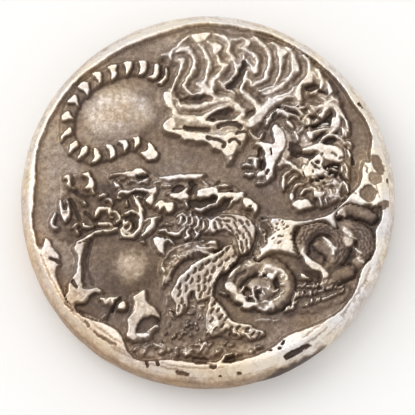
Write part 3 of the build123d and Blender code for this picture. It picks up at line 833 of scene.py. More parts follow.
hold()
land(6.7,7.2, 7,7.8, 7.3,7.5, 7.9,7, 8.15,6.2, 8.1,5.3, 7.6,4.7, 7.3,4.2, 7,3.8, 6.9,3,
     6.8,2.4, 6.2,1.7, 6,2.4, 6,4, 5.7,5.2, 4.75,5.6, 5.5,5.85, 6.8,5.7, 6.9,6.3)
ridge(0.25, 6.2,8.05, 6.85,8.75, 7.75,9, 8.25,8.55)
ridge(0.2, 8.1,9.6, 9.1,9.5, 9.8,8.8, 10,7.9)
ridge(0.2, 9.6,9.5, 10.6,9.6, 11.3,9)
groove(0.25, 8.5,9.1, 9.2,8.9, 9.5,8.2, depth=0.15)
groove(0.2, 8.7,6.9, 8.9,6, 8.6,5, depth=0.15, dark=0.2)
ridge(0.35, 6.1,7.7, 6.3,8.3, 6.9,8.9, 7.35,9.2)
groove(0.25, 6.7,8.5, 7.1,8.9)
ridge(0.2, 7.3,9.3, 7.9,9.1, 8.3,8.7)
ridge(0.2, 8.3,8.9, 8.9,8.75, 9.4,8.4, 9.65,8)
ridge(0.16, 7.4,9.7, 8.5,9.75, 9.3,9.5, 9.9,8.9, 10.2,8.5)
land(8.2,7.8, 8.6,7.9, 8.9,7.4)
ridge(0.25, 9.2,6.8, 9.25,6.1)
pit(5.1,4.2, 5.2,5, 5.5,5.3, 5.75,5.1, 5.6,4.5)
ridge(0.3, 4.2,4.15, 5.2,4.05)
ridge(0.45, 5,4.1, 5,3.2)
pit(5.5,3, 5.5,4, 5.95,4, 5.95,3)
ridge(0.3, 3.7,3.45, 4.1,3.55, 4.45,3.4)
ridge(0.3, 3.9,2.5, 4.7,2.45)
ridge(0.25, 5.1,1.6, 5.8,1.55)
land(5.1,2.2, 5.3,2.75, 5.9,2.8, 5.9,2.3, 5.4,2.1)
groove(0.2, 6.1,2.5, 6.3,2.85)
groove(0.15, 6.55,5.1, 6.65,4.55)
ridge(0.9, 7.7,7.4, 8.3,6.2, 8.2,4.6, 7.4,3.5, top=0.55, bright=0.58)
ridge(0.35, 7.9,4.0, 8.6,3.5, 9.9,2.8, top=0.7)
ridge(0.25, 8.3,8.1, 8.8,7.5)
ridge(0.3, 9.0,7.0, 9.2,6.3, top=0.7)
ridge(0.3, 4.4,6.9, 4.9,6.3, 5.4,6.2, 5.7,6.9, top=0.6, bright=0.66)
cut_out("tiger_foreleg", "polished_silver")


# The tiger's head: seen from above and turned down to the right, with one round ear, a
# broad bright nose, a small open mouth and a ragged ruff, nearly as high as the rim.


def speckle(name, size, lift, glint):
    """Breaks up one figure's surface into small uneven lumps, bright on their tops."""
    own = ground_of(name)
    lumps = mottle(size)
    relief[own] += lift * lumps[own]
    shine[own] += glint * lumps[own]


hold()
speckle("tiger_head", 0.5, 0.05, 0.14)
ridge(0.45, 11.4,9.4, 11.6,9.6, 12.6,9.8, 13.3,9.6, 13.8,9.1, 14,8.6)
ridge(0.3, 11.1,7.9, 11.6,8.6, 12.6,9.6)
pit(11.9,8, 12.5,8.8, 12.9,9.2, 12.95,8.8, 12.7,7.9, depth=0.35, dark=0.05)
groove(0.3, 13.4,8.7, 13.9,8.2, depth=0.2, dark=0.3)
land(13,8.5, 13.6,8.2, 13.6,7.5, 13.3,7.3, 12.7,7.6)
groove(0.35, 10.9,7.1, 11.8,7.2, 12.5,7.4)
groove(0.3, 10.8,6.1, 11.6,6.5, 12.1,6.8)
groove(0.3, 11,7.5, 12,7.9, 12.6,7.8)
land(10.3,6.7, 10.9,6.9, 10.9,6.3, 10.6,6.1)
ridge(0.45, 10.5,8.7, 10.5,7.5)
land(9.6,5.1, 10.5,5.4, 11.3,5.75, 12.5,5.6, 13.5,5.4, 14,4.7, 14,4, 13.7,3.75, 12.4,3.9,
     11.8,4.6, 11.2,4.9, 10,4.9, top=0.87)
pit(11.9,5.6, 12.3,6.4, 13.1,6.5, 13.4,6.2, 12.8,5.8, depth=0.3, dark=0.1)
ridge(0.18, 12.1,6.3, 12.5,6.65, 13.3,6.55, 13.9,6.1)
groove(0.25, 12.8,7.15, 13.4,6.75)
groove(0.15, 13.9,6.1, 14.4,5.3)
ridge(0.2, 14.2,7.1, 14.4,6.6)
ridge(0.2, 14.6,5.9, 14.9,5.5)
ridge(0.25, 14,8.7, 14.4,8, 14.6,7)
groove(0.22, 11.9,4.65, 11.5,4.3, depth=0.2)
groove(0.22, 12.9,4.7, 13.4,4.4, depth=0.16, dark=0.4)
groove(0.22, 13.7,4.15, 14.1,4.3, depth=0.16, dark=0.4)
pit(12.2,3.2, 12.5,3.65, 13.6,3.6, 13.8,3.2, 13.7,2.6, 13.2,2.2, 12.5,2.2, 12.3,2.6,
    depth=0.35, dark=0.05)
ridge(0.25, 12.7,3.1, 13.4,2.9, top=0.6)
land(10,2.4, 10.1,3.1, 10.4,3.6, 11,4.2, 11.6,4.6, 12,4, 11.9,3.4, 12,2.6, 11.2,2.3,
     10.4,2.1)
groove(0.18, 10.8,3.6, 10.9,3.4, depth=0.15)
groove(0.18, 10.9,2.85, 11,2.7, depth=0.15)
groove(0.2, 11.1,3.3, 11.9,2.9, depth=0.18)
ridge(0.25, 11.8,3, 12.4,2.7)
ridge(0.2, 13.9,3.3, 13.9,2.7)
ridge(0.2, 13.1,1.9, 13.6,1.3)
groove(0.25, 13.8,2.4, 14.2,1.8)
for x, y in ((10.8, 1.9), (11.4, 1.9), (11.7, 2.2), (12.2, 1.6), (11.5, 1.25)):
    groove(0.25, x - 0.1,y, x + 0.1,y - 0.05)
land(11,0.7, 11.6,0.7, 12.2,0.5, 11.8,0, 11.1,0.1)
ridge(0.35, 11.6,-0.1, 11.8,-0.9)
ridge(0.35, 13,0.2, 13.6,0)
pit(8.4,5.8, 9.6,5.6, 9.7,4.4, 8.6,4.6, depth=0.2, dark=0.1)
groove(0.4, 9.4,4.7, 10.2,4.5, 11,4.5, depth=0.2)
groove(0.3, 15,3.7, 14.9,4.3)
ridge(0.3, 11.4,8.1, 12.05,9, 12.3,9.9, 13.2,10.3)
ridge(0.35, 13.3,9.6, 13.6,8.3, 13.4,7.4, 12.7,6.9)
groove(0.25, 10.2,7.5, 11.4,7.7, 12.5,8.05)
ridge(0.22, 10.4,6.9, 11.4,7.0, 12.7,7.25)
ridge(0.16, 11.6,5.8, 12.05,6.35, 12.7,6.6, 13.6,6.35, 14.3,5.55)
groove(0.3, 9.9,8.4, 10.9,8.6, 11.6,8.3, depth=0.2)
for x, y in ((11.4, 3.7), (12.3, 3.25), (13.2, 3.45), (12.8, 2.5), (11.9, 2.2)):
    groove(0.28, x - 0.12,y, x + 0.12,y + 0.04, depth=0.3, dark=0.04)
for x, y, dx, dy in ((10.9, 2.07, 0.3, 0.1), (11.4, 2.5, 0.3, 0.1), (12.05, 2.5, 0.3, -0.1),
                     (12.6, 2.3, 0.35, 0.1), (13.0, 1.6, 0.2, -0.3), (12.3, 1.4, 0.4, 0.1),
                     (11.4, 1.15, 0.3, -0.2), (11.0, 0.9, 0.2, -0.3), (11.8, 0.45, 0.3, 0.15),
                     (12.5, 0.2, 0.35, -0.1), (13.4, 0.45, 0.2, 0.3), (13.75, 1.1, 0.1, 0.4),
                     (14.1, 0.0, -0.3, -0.2), (14.3, 2.6, 0.2, -0.5), (14.4, 1.0, 0.1, -0.5),
                     (12.9, -0.3, 0.3, 0.1), (10.3, 1.7, 0.25, 0.15), (9.9, 2.9, 0.1, 0.5)):
    ridge(0.22, x,y, x + dx,y + dy, top=0.8)
for x, y, dx, dy in ((14.1, 1.6, 0.3, -0.6), (12.6, 0.9, 0.2, -0.7), (13.3, 0.9, 0.3, -0.5),
                     (12.2, -0.1, 0.1, -0.6), (10.6, 1.2, 0.3, -0.3), (13.9, 7.4, 0.2, -0.8),
                     (14.5, 5.0, 0.2, -0.8), (14.2, 3.6, 0.3, -0.9), (10.0, 8.0, 0.3, 0.7),
                     (10.9, 8.9, -0.5, 0.3), (9.6, 6.9, 0.3, 0.6)):
    ridge(0.2, x,y, x + dx * 0.5 + 0.05,y + dy * 0.5, x + dx,y + dy, top=0.75)
cut_out("tiger_head", "polished_silver")


# The tiger's front paw: a dark pitted dome of fur tucked under the chin, with a few
# bright toes along its lower edge.

hold()
speckle("tiger_front_paw", 0.4, 0.07, 0.18)
ridge(0.25, 7.8,1.5, 8,2.3, 8.6,2.8)
ridge(0.16, 8.3,1.4, 8.9,2.1, 9.3,2.2)
ridge(0.16, 8.9,0.9, 9.3,1.4, 9.9,1.5)
ridge(0.16, 9.6,0.3, 10,0.8, 10.6,0.8)
ridge(0.25, 7.8,2.2, 7.8,1.4, 7.9,0.9)
ridge(0.25, 8.9,3.2, 9.6,2.8, 10,2.3)
land(8.4,0, 8.6,0.5, 8.9,0.3, 8.8,-0.4)
land(8.8,-0.7, 9.6,-0.2, 10.4,-0.3, 10.9,-0.9, 10.2,-1.1, 9.7,-1.4, 9.1,-1.2)
ridge(0.3, 8.6,3.5, 9.1,3.3)
cut_out("tiger_front_paw", "polished_silver")


# The dragon's head: at the left, jaw open and turned to the rim, with curled horns, a
# heavy brow and a ringed eye. Its silver stays dark and only the fine edges are bright.

hold()
speckle("dragon_head", 0.45, 0.05, 0.10)
land(-12.9,2.4, -12.3,2.75, -12,2.2, -11.7,1.6, -11.9,0.9, -12.7,1, -12.4,1.5, -12.3,2)
land(-14.9,2.1, -14.3,2.4, -14.1,1.9, -14.1,1.2, -13.7,0.9, -14.3,1.1, -14.6,1.4, -14.4,1.8)
ridge(0.25, -11.9,0.8, -11.7,0.5)
ridge(0.28, -15.2,-0.3, -15.1,-1, -15,-1.7, -14.85,-2.3, -14.7,-2.5)
ridge(0.2, -14.65,-0.3, -14.4,-0.7)
ridge(0.25, -14.4,-1, -14.35,-2)
ridge(0.18, -15,-1.5, -14.5,-1.45)
ridge(0.18, -15,-1.8, -14.4,-1.9)
land(-14.9,-2, -14.4,-2, -14.7,-2.5)
ridge(0.3, -15.8,-1.75, -16,-2.2, -16,-2.9, -15.8,-3.2, -15.4,-3.2)
ridge(0.25, -12.95,-0.3, -12.7,-0.7)
ridge(0.2, -10.5,-0.2, -10.1,-0.2, -9.9,-0.6)
ridge(0.4, -11.5,-1.9, -11.3,-1.4, -11.1,-1.1, -10.8,-1.2, -10.1,-1.2)
ridge(0.25, -10.1,-1.2, -10.1,-1.7)
ridge(0.25, -9.9,-1.5, -9.5,-1.5, -9.2,-1.8, -9.1,-2.2, -9.4,-2.6)
ridge(0.2, -9.9,-2.1, -9.8,-2.1)
ridge(0.35, -11.2,-2.7, -10.8,-2.8, -10.2,-2.8, -9.9,-2.9)
ridge(0.25, -12.9,-2.8, -12.7,-3.1, -12.3,-3.1, -11.9,-3)
ridge(0.22, -13.9,-3.1, -13.4,-2.8)
ridge(0.2, -13.6,-3.4, -13.3,-3.8)
ridge(0.25, -13.5,-4.8, -12.4,-4.3, -12,-3.9, -11.5,-3.6, -10.2,-3.5, -9.3,-3.3)
ridge(0.16, -11.2,0.1, -10.8,0.3, -10.5,0.35)
groove(0.35, -14.2,-0.2, -13.6,-1.2, -13.2,-2.2, depth=0.2, dark=0.04)
groove(0.3, -12.6,-1.5, -11.9,-2.2, -11.5,-2.3, depth=0.2, dark=0.04)
groove(0.3, -13.8,0.6, -13,0.2, -12.2,0.2, depth=0.15, dark=0.06)
cut_out("dragon_head", "polished_silver")


# The dragon's whisker: a flat lock that sweeps down from its cheek in one bright curve.

hold()
pit(-7.9,-2, -7.3,-2.6, -7.3,-3.3, -7.8,-3.1, depth=0.15, dark=0.08)
ridge(0.4, -7.6,0.1, -7.3,-0.4, -6.95,-1, -6.85,-1.6, -6.85,-2.4, -6.95,-3, -7.3,-3.6,
      -7.8,-4.1, -8.3,-4.2, -8.8,-3.9, -8.95,-3.4)
ridge(0.3, -8.6,-1.7, -8.2,-1.6, -7.8,-1.4, -7.4,-1.6, -7,-1.9)
ridge(0.3, -8.7,-2.4, -8.5,-2.8, -8.2,-2.6)
ridge(0.4, -8.7,-3.2, -8.5,-3.6, -8,-3.8)
ridge(0.2, -7.9,-2.8, -8,-3.3, -8.4,-3.5)
ridge(0.2, -8.4,-0.4, -8.4,-0.8)
cut_out("dragon_whisker", "polished_silver")


# The dragon's beard: three loose tufts below the cheek, each a short bright hook.

hold()
ridge(0.5, -6.7,-3.95, -6.2,-3.5, -5.7,-2.9, -5.6,-2.3)
ridge(0.25, -6.4,-2.45, -5.9,-2.2)
ridge(0.2, -5.6,-2.2, -4.9,-2)
ridge(0.4, -8.95,-4.5, -8.6,-5.1, -8.2,-5.4, -7.6,-5.5, -7.2,-5.4, -7.2,-5, -6.7,-4.7)
land(-5.6,-4.4, -5.1,-4.15, -4.6,-4.3, -4.4,-4.7, -4.5,-5.1, -4.5,-5.7, -4.4,-6, -4.9,-5.8,
     -5.3,-5.2)
ridge(0.2, -4.5,-4.7, -4,-4.5, -3.5,-4.9)
cut_out("dragon_beard", "polished_silver")


# The dragon's mane: flame-shaped locks that stream back over the neck, each lock a flat
# bright tongue with a dark hollow beside it.

hold()
ridge(0.16, -10,2.3, -9.5,2.5, -8.8,2.6, -8.3,2.5)
land(-8.5,2.7, -7.8,2.8, -7.1,3.1, -6.3,2.7, -6.3,2.5, -7,2.5, -7.5,2.2, -8.2,2.2, -8.6,2.5)
groove(0.25, -7.4,2.3, -6.6,2.2, -6.2,2.3, depth=0.2)
land(-6.6,1.9, -6.3,1.6, -6,1.9)
land(-5.4,2.6, -4.9,2.2, -3,2.4, -1,2.5, -0.3,2.5, -1,2, -2,1.9, -3,1.9, -3.9,1.7, -4.8,1.9)
land(-9.7,1.8, -9.3,1.5, -9,1.1, -9.4,1)
ridge(0.2, -8.9,2, -8.7,2)
land(-9.3,0.3, -9,0.8, -7.8,0.8, -7,1.05, -5.9,0.85, -5.3,1.2, -5.3,0.5, -5.9,0.4,
     -6.6,0.6, -7.3,0.7, -8.1,0.45, -8.8,0.4)
groove(0.25, -7.7,0.5, -7,0.55, -6.5,0.3, depth=0.2)
land(-6.4,-0.3, -6,0.1, -5.6,0.4, -5.5,-0.3, -5.9,-0.8, -6.2,-0.6)
land(-5.5,-1, -5.2,-0.6, -4.7,-0.3, -4.2,-0.5, -3.5,-0.6, -3.7,-1.5, -4.2,-1.4, -4.5,-0.95,
     -4.95,-1.4, -5.1,-1)
land(-4.2,0.4, -3.9,0.6, -3.8,0.1, -3.2,-0.2, -2.2,-0.2, -2,0.1, -2,1, -2.8,0.6, -3.4,0.4)
pit(-3.8,0.7, -3.2,1.4, -2.5,1.4, -2.3,0.9, -3,0.5)
pit(-2,1.5, -1.7,1.8, -1.2,1.4, -1.6,1.2)
groove(0.4, -1.9,0.5, -1.2,1.3)
land(-1.2,0.2, -0.8,0.9, 0.9,1, 1.3,0.5, 2,0.6, 3.7,0.5, 3.6,0.2, 2.8,-0.2, 1.8,0, 1,-0.6,
     1,0.2, 0,0, -1,0.1)
land(0.7,1.2, 1.6,1.4, 2.4,1.3, 1.6,1.1)
ridge(0.25, -0.6,1.8, 0,1.3)
pit(0.4,1.2, 1.2,1.9, 1.3,1.6, 0.8,1.15, depth=0.2)
groove(0.15, 2,0.65, 2.7,0.8)
pit(-1.9,-0.2, -0.2,-0.1, 0.5,0.35, 0.9,0.3, 1,-0.3, 0.4,-0.7, -0.2,-1, -1.6,-1, depth=0.3,
    dark=0.05)
ridge(0.25, -1.3,-1.2, -0.8,-1.3, -0.2,-1.1, 0.4,-0.8, 1,-0.6)
pit(-0.6,-1.5, 0.5,-1.1, 1.4,-0.7, 1.9,-0.1, 2.7,0, 2.7,-0.3, 2.1,-1, 1.2,-1.5, 0,-1.8,
    depth=0.3, dark=0.05)
ridge(0.2, 2.2,-0.9, 2.6,-0.4, 3.2,-0.1, 3.6,0.1)
land(3.6,-0.4, 4,0, 4.8,-0.5, 5.2,-1, 5,-1.7, 4.6,-1.2, 4,-1.1, 3.9,-0.8)
groove(0.15, 4.35,-0.95, 4.5,-0.95)
ridge(0.2, -2.3,-0.5, -2.1,-0.9)
for x, y, dx, dy in ((-9.6, -0.2, 0.6, 0.2), (-8.2, 1.6, 0.8, 0.2), (-7.2, 1.5, 0.8, 0.1),
                     (-5.6, 1.5, 0.8, 0.1), (-7.6, -0.1, 0.7, 0.1), (-4.6, 1.2, 0.7, 0.1)):
    ridge(0.18, x,y, x + dx / 2,y + dy / 2 + 0.1, x + dx,y + dy, top=0.7)
cut_out("dragon_mane", "polished_silver")


# The dragon's neck: it lies under the mane and turns down at the right in a bright loop,
# marked with short dark strokes for scales and upright bright ones for fur.

hold(0.2)
speckle("dragon_neck", 0.3, 0.04, 0.10)
land(0.5,-2.2, 1.4,-1.8, 2.8,-1.8, 3.6,-1.9, 4.6,-2.6, 4.9,-3.5, 4.7,-4.8, 4.0,-5.9, 3.4,-5.9,
     3.1,-4.8, 2.6,-3.8, 1.6,-3.4, 0.5,-3.7, 0.3,-2.9, top=0.72, bright=0.74)
# leaf-shaped hollows between the scales, turning with the bend of the neck
for x, y, lean in ((1.5, -2.0, 170), (2.2, -2.0, 170), (1.2, -2.4, 165), (2.0, -2.5, 155),
                   (2.8, -2.3, 150), (0.8, -2.9, 105), (1.4, -2.9, 120), (2.2, -3.1, 130),
                   (2.9, -2.9, 125), (3.5, -2.6, 135), (1.0, -3.4, 100), (2.6, -3.5, 120),
                   (3.2, -3.6, 115), (3.9, -3.3, 120), (3.1, -4.2, 105), (3.7, -4.1, 105),
                   (4.3, -3.9, 110), (3.5, -4.9, 95), (4.0, -4.8, 95), (4.5, -4.6, 95),
                   (3.6, -5.5, 90), (4.2, -2.7, 130), (4.1, -5.5, 85)):
    dx, dy = 0.24 * math.cos(math.radians(lean)), 0.24 * math.sin(math.radians(lean))
    groove(0.22, x - dx,y - dy, x + 0.05,y - 0.03, x + dx,y + dy, depth=0.15, dark=0.20)
# the crescents of the throat side, shorter and farther apart towards the jaw
for x, high, low_end in ((0.1, -2.1, -3.6), (-0.5, -2.1, -3.5), (-1.1, -2.0, -3.3),
                         (-1.7, -1.9, -2.9), (-2.3, -1.9, -2.9), (-2.9, -2.0, -2.7)):
    half = (high + low_end) / 2
    ridge(0.24, x - 0.15,high, x + 0.12,half + 0.3, x + 0.08,half - 0.3, x - 0.3,low_end, top=0.7)
ridge(0.2, -1.8,-1.6, -1.7,-1.9)
ridge(0.2, -3,-1.9, -2.6,-1.7, -2.3,-1.9)
ridge(0.16, -5,-2.95, -4.5,-2.8, -3.8,-2.85)
ridge(0.25, -5,-3.6, -4.4,-3.45, -4,-3.7)
land(-4.2,-3.6, -3.6,-3.65, -2.8,-3.65, -2.8,-4, -3.5,-4.1, -3.9,-3.9)
ridge(0.25, -2.8,-3.7, -2.3,-3.1)
ridge(0.3, -1.8,-3.2, -2.1,-3.7, -2,-4.1, -2.3,-4.3)
ridge(0.28, -1.3,-3.6, -1.0,-3.9, -1.3,-4.2)
cut_out("dragon_neck", "polished_silver")


# The dragon's throat: the dark underside of the neck, banded with fine belly plates that
# follow its curve.

hold()
land(-0.2,-4.9, 0.4,-4.6, 0.9,-4.6, 0.95,-5, 0.2,-5)
ridge(0.2, -1.2,-5.1, -0.4,-5.4, 0.3,-5.4, 0.9,-5.3)
ridge(0.16, -1,-5.6, -0.2,-5.8, 0.5,-6)
ridge(0.15, -0.5,-4.55, -0.4,-4.55)
ridge(0.28, -3.1,-6.1, -2.7,-6.5)
ridge(0.22, -2.6,-6.1, -2.2,-6.3)
ridge(0.2, -1.9,-5.9, -1.7,-6.1)
ridge(0.22, -3.9,-6.9, -3.5,-7.2)
land(-4.8,-7.3, -4.4,-7.5, -4.5,-8)
for arc in ((-4.6, -9.3, -4.4, -8.1, -3.9, -7.2, -2.6, -5.9, -0.4, -5.0),
            (-4.2, -8.9, -3.8, -7.7, -2.9, -6.6, -1.6, -5.7, 0.2, -5.3),
            (-4.8, -7.6, -4.5, -6.5, -3.8, -5.6, -2.4, -4.9, -0.9, -4.6)):
    ridge(0.12, *arc, top=0.46, bright=0.56)
for x, y in ((-4.5, -8.6), (-4.4, -7.7), (-4.0, -6.9), (-3.6, -6.2), (-3.0, -5.6), (-2.3, -5.2)):
    ridge(0.14, x,y, x + 0.25,y + 0.12, x + 0.5,y + 0.1, top=0.5, bright=0.66)
cut_out("dragon_throat", "oxidised_silver")


# The dragon's body: the wide bright sheet of scales that falls from the neck to the
# water, lumpy with small scales above and streaked downwards below.

hold(0.2)
# its lower end sinks into the waves
body_ground = soften((corners == NAMES.index("dragon_body")).any(0).astype(float), 0.5)
melt = body_ground * ease(-along, 10.0, 13.0) * ease(-across - 0.25 * (along + 12), 0.6, 2.0)
relief[:] = relief * (1 - 0.8 * melt)
shine[:] = shine + (0.33 + 0.10 * grain - shine) * melt
speckle("dragon_body", 0.30, 0.04, 0.10)
land(2.1,-5.0, 3.4,-5.3, 3.0,-6.5, 2.1,-7.6, 1.1,-8.1, 0.6,-9.2, 0.5,-10.4, -0.1,-10.6, -1.1,-10.9,
     -1.4,-9.8, -2.0,-10.5, -2.0,-11.5, -3.1,-12.4, -3.3,-11.1, -3.7,-10.1, -2.9,-8.4,
     -1.6,-7.1, 0.2,-6.0, top=0.66, bright=0.68)
ridge(0.4, -3.2,-9.3, -2.2,-8.0, -0.8,-6.9, 0.8,-6.1, 2.2,-5.2, bright=0.9)
ridge(0.3, 2.9,-6.5, 2.0,-7.5, 1.0,-8.1, 0.6,-9.2, bright=0.85)
# leaf-shaped hollows between the scales, leaning with the neck and then hanging down
for x, y in ((2.1, -5.4), (1.4, -6.0), (2.8, -6.0), (2.1, -6.5), (0.8, -6.5), (0.05, -6.9),
             (1.35, -7.0), (0.6, -7.6), (-0.6, -7.4), (-0.1, -8.0), (-0.9, -8.6), (-1.6, -8.8),
             (-2.1, -8.5), (-0.3, -8.8), (0.2, -8.6), (-2.2, -9.6), (-2.9, -10.1), (-0.9, -9.6),
             (-0.3, -9.6), (-2.9, -9.4), (-1.6, -10.2), (-2.6, -10.9), (-0.7, -10.3),
             (-2.9, -11.7), (0.2, -9.9), (2.5, -7.1), (1.6, -7.6), (-1.3, -7.7), (-2.4, -11.6)):
    lean = math.radians(232 + 28 * ease(-y, 6.5, 10.0))
    dx, dy = 0.26 * math.cos(lean), 0.26 * math.sin(lean)
    groove(0.24, x - dx,y - dy, x + 0.06,y - 0.04, x + dx,y + dy, depth=0.16, dark=0.22)
# small pebbly specks below, where the body sinks into the waves
for _ in range(46):
    x, y = chance.uniform(-4.4, 0.0), chance.uniform(-15.0, -11.2)
    turn, size = chance.uniform(0, 3.1), chance.uniform(0.10, 0.26)
    ridge(0.16, x,y, x + size * math.cos(turn),y + size * math.sin(turn),
          top=chance.uniform(0.35, 0.6), bright=chance.uniform(0.5, 0.8))
# the top of the foreleg grows out of the body, so its mass starts here
land(0.4,-10.5, 1.3,-11.2, 1.9,-12.0, 2.5,-12.9, 3.9,-13.4, 5.0,-13.8, 5.9,-14.2, 4.7,-14.9,
     3.8,-14.5, 2.9,-14.4, 2.1,-13.8, 1.4,-14.2, 0.4,-14.5, -0.2,-13.4, -0.1,-12.0, top=0.62,
     bright=0.66)
ridge(0.5, 0.6,-12.4, 1.1,-13.0, 0.9,-13.6, 0.3,-14.2, bright=0.92)
cut_out("dragon_body", "polished_silver")


# The dragon's foreleg: thin bright tendons that run down to a paw with five hooked claws
# reaching right along the water.

hold(0.18)
speckle("dragon_foreleg", 0.3, 0.05, 0.14)
ridge(0.35, 1.2,-11.4, 1.7,-12.4, 2.5,-13.2, 3.4,-13.4, 4.4,-13.6, bright=0.92)
ridge(0.25, 4.2,-14.3, 5.0,-14.1, 5.8,-14.3)
ridge(0.22, 3.0,-14.2, 3.4,-14.6)
ridge(0.22, 3.8,-14.2, 4.4,-14.9)
for x, y in ((0.8, -13.8), (2.5, -13.8), (3.2, -13.7), (4.0, -14.0), (1.6, -13.5), (0.6, -11.3),
             (1.1, -11.9), (1.9, -12.8), (4.7, -14.3), (0.5, -12.9), (1.4, -12.6), (0.9, -10.9),
             (2.4, -14.2), (5.2, -14.5), (0.5, -12.0)):
    groove(0.2, x + 0.12,y + 0.16, x,y, x - 0.14,y - 0.16, depth=0.16, dark=0.22)
cut_out("dragon_foreleg", "polished_silver")


# The dragon's tail coil: the tail winds once over itself; its outside edge is bright and
# the round middle is marked with close curved lines.


def limb(width, *flat, top=0.72, tone=0.26):
    """Raises a broad rounded form, such as a coil of tail, along a line, and keeps it dark."""
    path = smooth_line(flat)
    part = window(path, width)
    gap, share, run = reach_to(path, part)
    half = width / 2 * (0.75 + 0.25 * np.clip(np.minimum(share, 1 - share) * run / width, 0, 1))
    rise = np.sqrt(np.clip(1 - (gap / half) ** 2, 0, 1))
    relief[part] += np.maximum(top - relief[part], 0) * rise * grip[part]
    foot = ease(gap / half, 0.75, 1.0) * (1 - ease(gap / half, 1.0, 1.35)) * grip[part]
    relief[part] -= 0.10 * foot
    cover = (1 - ease(gap / half, 0.8, 1.05)) * grip[part]
    shine[part] += (tone + 0.22 * rise**3 + 0.10 * grain[part] - shine[part]) * cover
    shine[part] -= 0.12 * foot


hold()
speckle("dragon_tail_coil", 0.4, 0.04, 0.10)
limb(1.9, 3.2,-10.6, 2.6,-9.2, 3.4,-7.9, 5,-7.1, 6.8,-7.2, 8,-8.3, 8.1,-9.8, 7.1,-11,
     5.4,-11.3, top=0.66, tone=0.24)
limb(1.3, 4.5,-9.2, 5.3,-8.8, 6.3,-9.1, 6.4,-9.9, 5.6,-10.4, top=0.6, tone=0.26)
ridge(0.34, 5.5,-7.9, 6.2,-7.6, 6.9,-7.5, 7.6,-7.9, 8,-8.5, 8.3,-9.3, 7.8,-10.4, 7,-11.1, top=0.68,
      bright=0.50)
ridge(0.36, 1.9,-9.0, 2.3,-9.7, 2.9,-10.3, 3.6,-10.9, 4.4,-11.3, 5.1,-11.4, top=0.7, bright=0.62)
ridge(0.22, 4.5,-9.5, 5.0,-9.3, 5.6,-9.5, 6.2,-9.6, 6.7,-9.8, top=0.72, bright=0.62)
spread[0] = 0.16
for x, y, dx, dy in ((5.34, -8.18, 0.3, 0.2), (5.74, -7.77, 0.3, -0.2), (6.14, -7.37, 0.3, 0.1),
                     (6.8, -8.05, 0.25, 0.25), (7.2, -7.5, 0.3, -0.1), (7.73, -7.77, 0.2, -0.3),
                     (8.13, -8.18, 0.1, -0.4), (8.0, -9.0, -0.2, -0.3), (7.87, -9.81, -0.3, -0.2),
                     (7.47, -10.36, -0.2, -0.3), (7.2, -10.76, -0.3, 0.1), (6.8, -11.4, -0.2, 0.3),
                     (6.4, -11.6, -0.3, 0.1), (5.07, -9.68, 0.3, 0.2), (5.6, -9.81, 0.2, -0.3),
                     (6.27, -9.68, 0.2, 0.3), (4.54, -9.81, 0.2, -0.3), (4.41, -10.36, 0.3, -0.1),
                     (4.81, -10.63, 0.2, -0.3), (7.6, -8.4, 0.3, 0.1), (7.5, -9.2, 0.3, 0.2),
                     (6.9, -9.9, 0.3, 0.2), (5.9, -8.4, 0.2, -0.2), (3.9, -10.4, 0.2, -0.2)):
    ridge(0.28, x,y, x + dx * 0.4 + 0.08,y + dy * 0.4 - 0.05, x + dx,y + dy)
spread[0] = 0.3
land(1.8,-9.2, 2.4,-9, 2.9,-9.4, 3.1,-10.1, 3.8,-10.3, 4,-11, 5.2,-11.1, 4.6,-11.6,
     3.5,-11.6, 3.7,-11.2, 2.9,-10.8, 3,-10.4, 2.1,-9.9)
ridge(0.3, 7.8,-8.2, 8.2,-8.7, 8.3,-9.4, top=0.72, bright=0.7)
ridge(0.3, 7.9,-10.1, 7.6,-10.7, 7.1,-10.9, top=0.72, bright=0.75)
ridge(0.35, 6.6,-10.9, 6.7,-11.7)
ridge(0.3, 5.4,-11.7, 5.8,-11.9, 6.4,-11.6)
land(6.2,-8.4, 6.7,-8.7, 7,-8.2, 6.3,-7.9)
ridge(0.25, 3.5,-9.9, 3.9,-9.3)
ridge(0.2, 4.7,-9.5, 4.8,-10.6)
ridge(0.25, 5.8,-11, 6.2,-11)
ridge(0.35, 5.9,-7.5, 6.3,-7.2, 6.8,-7.5, 7.8,-7.9)
ridge(0.16, 1.2,-9.9, 1.9,-10.2)
ridge(0.2, 4.3,-6.7, 4.6,-7)
ridge(0.2, 3.9,-7.1, 4.4,-7.2, 4.8,-7)
ridge(0.3, 2.3,-8.4, 2.7,-7.8, 3.3,-7.3)
groove(0.35, 2.8,-8.9, 3.2,-8.2, 3.9,-7.8, depth=0.18)
cut_out("dragon_tail_coil", "polished_silver")


# The dragon's tail arch: the tail rises against the right rim and turns back on itself.
# It is dark and pitted like skin, with one bright band round the inside of the turn.


def scales(size, wide, *flat, dark=0.18, depth=0.2):
    """Cuts rows of small leaf-shaped hollows along a line, as scales or curls of fur."""
    path = smooth_line(flat)
    step = np.hypot(*np.diff(path, axis=0).T)
    run = np.concatenate([[0], np.cumsum(step)])
    for row, place in enumerate(np.arange(size, run[-1], size)):
        x, y = np.interp(place, run, path[:, 0]), np.interp(place, run, path[:, 1])
        dx = np.interp(place + 0.1, run, path[:, 0]) - np.interp(place - 0.1, run, path[:, 0])
        dy = np.interp(place + 0.1, run, path[:, 1]) - np.interp(place - 0.1, run, path[:, 1])
        dx, dy = dx / np.hypot(dx, dy), dy / np.hypot(dx, dy)
        count = int(wide / size)
        for k in range(count):
            off = (k - (count - 1) / 2 + 0.5 * (row % 2)) * size * 1.05
            off += chance.uniform(-0.18, 0.18) * size
            long = size * chance.uniform(0.25, 0.55)
            px, py = x - dy * off, y + dx * off
            bend = 0.25 * size
            groove(size * 0.40, px - dx * long,py - dy * long, px + dy * bend * 0.4,
                   py - dx * bend * 0.4, px + dx * long,py + dy * long,
                   depth=depth * chance.uniform(0.6, 1.2), dark=dark)


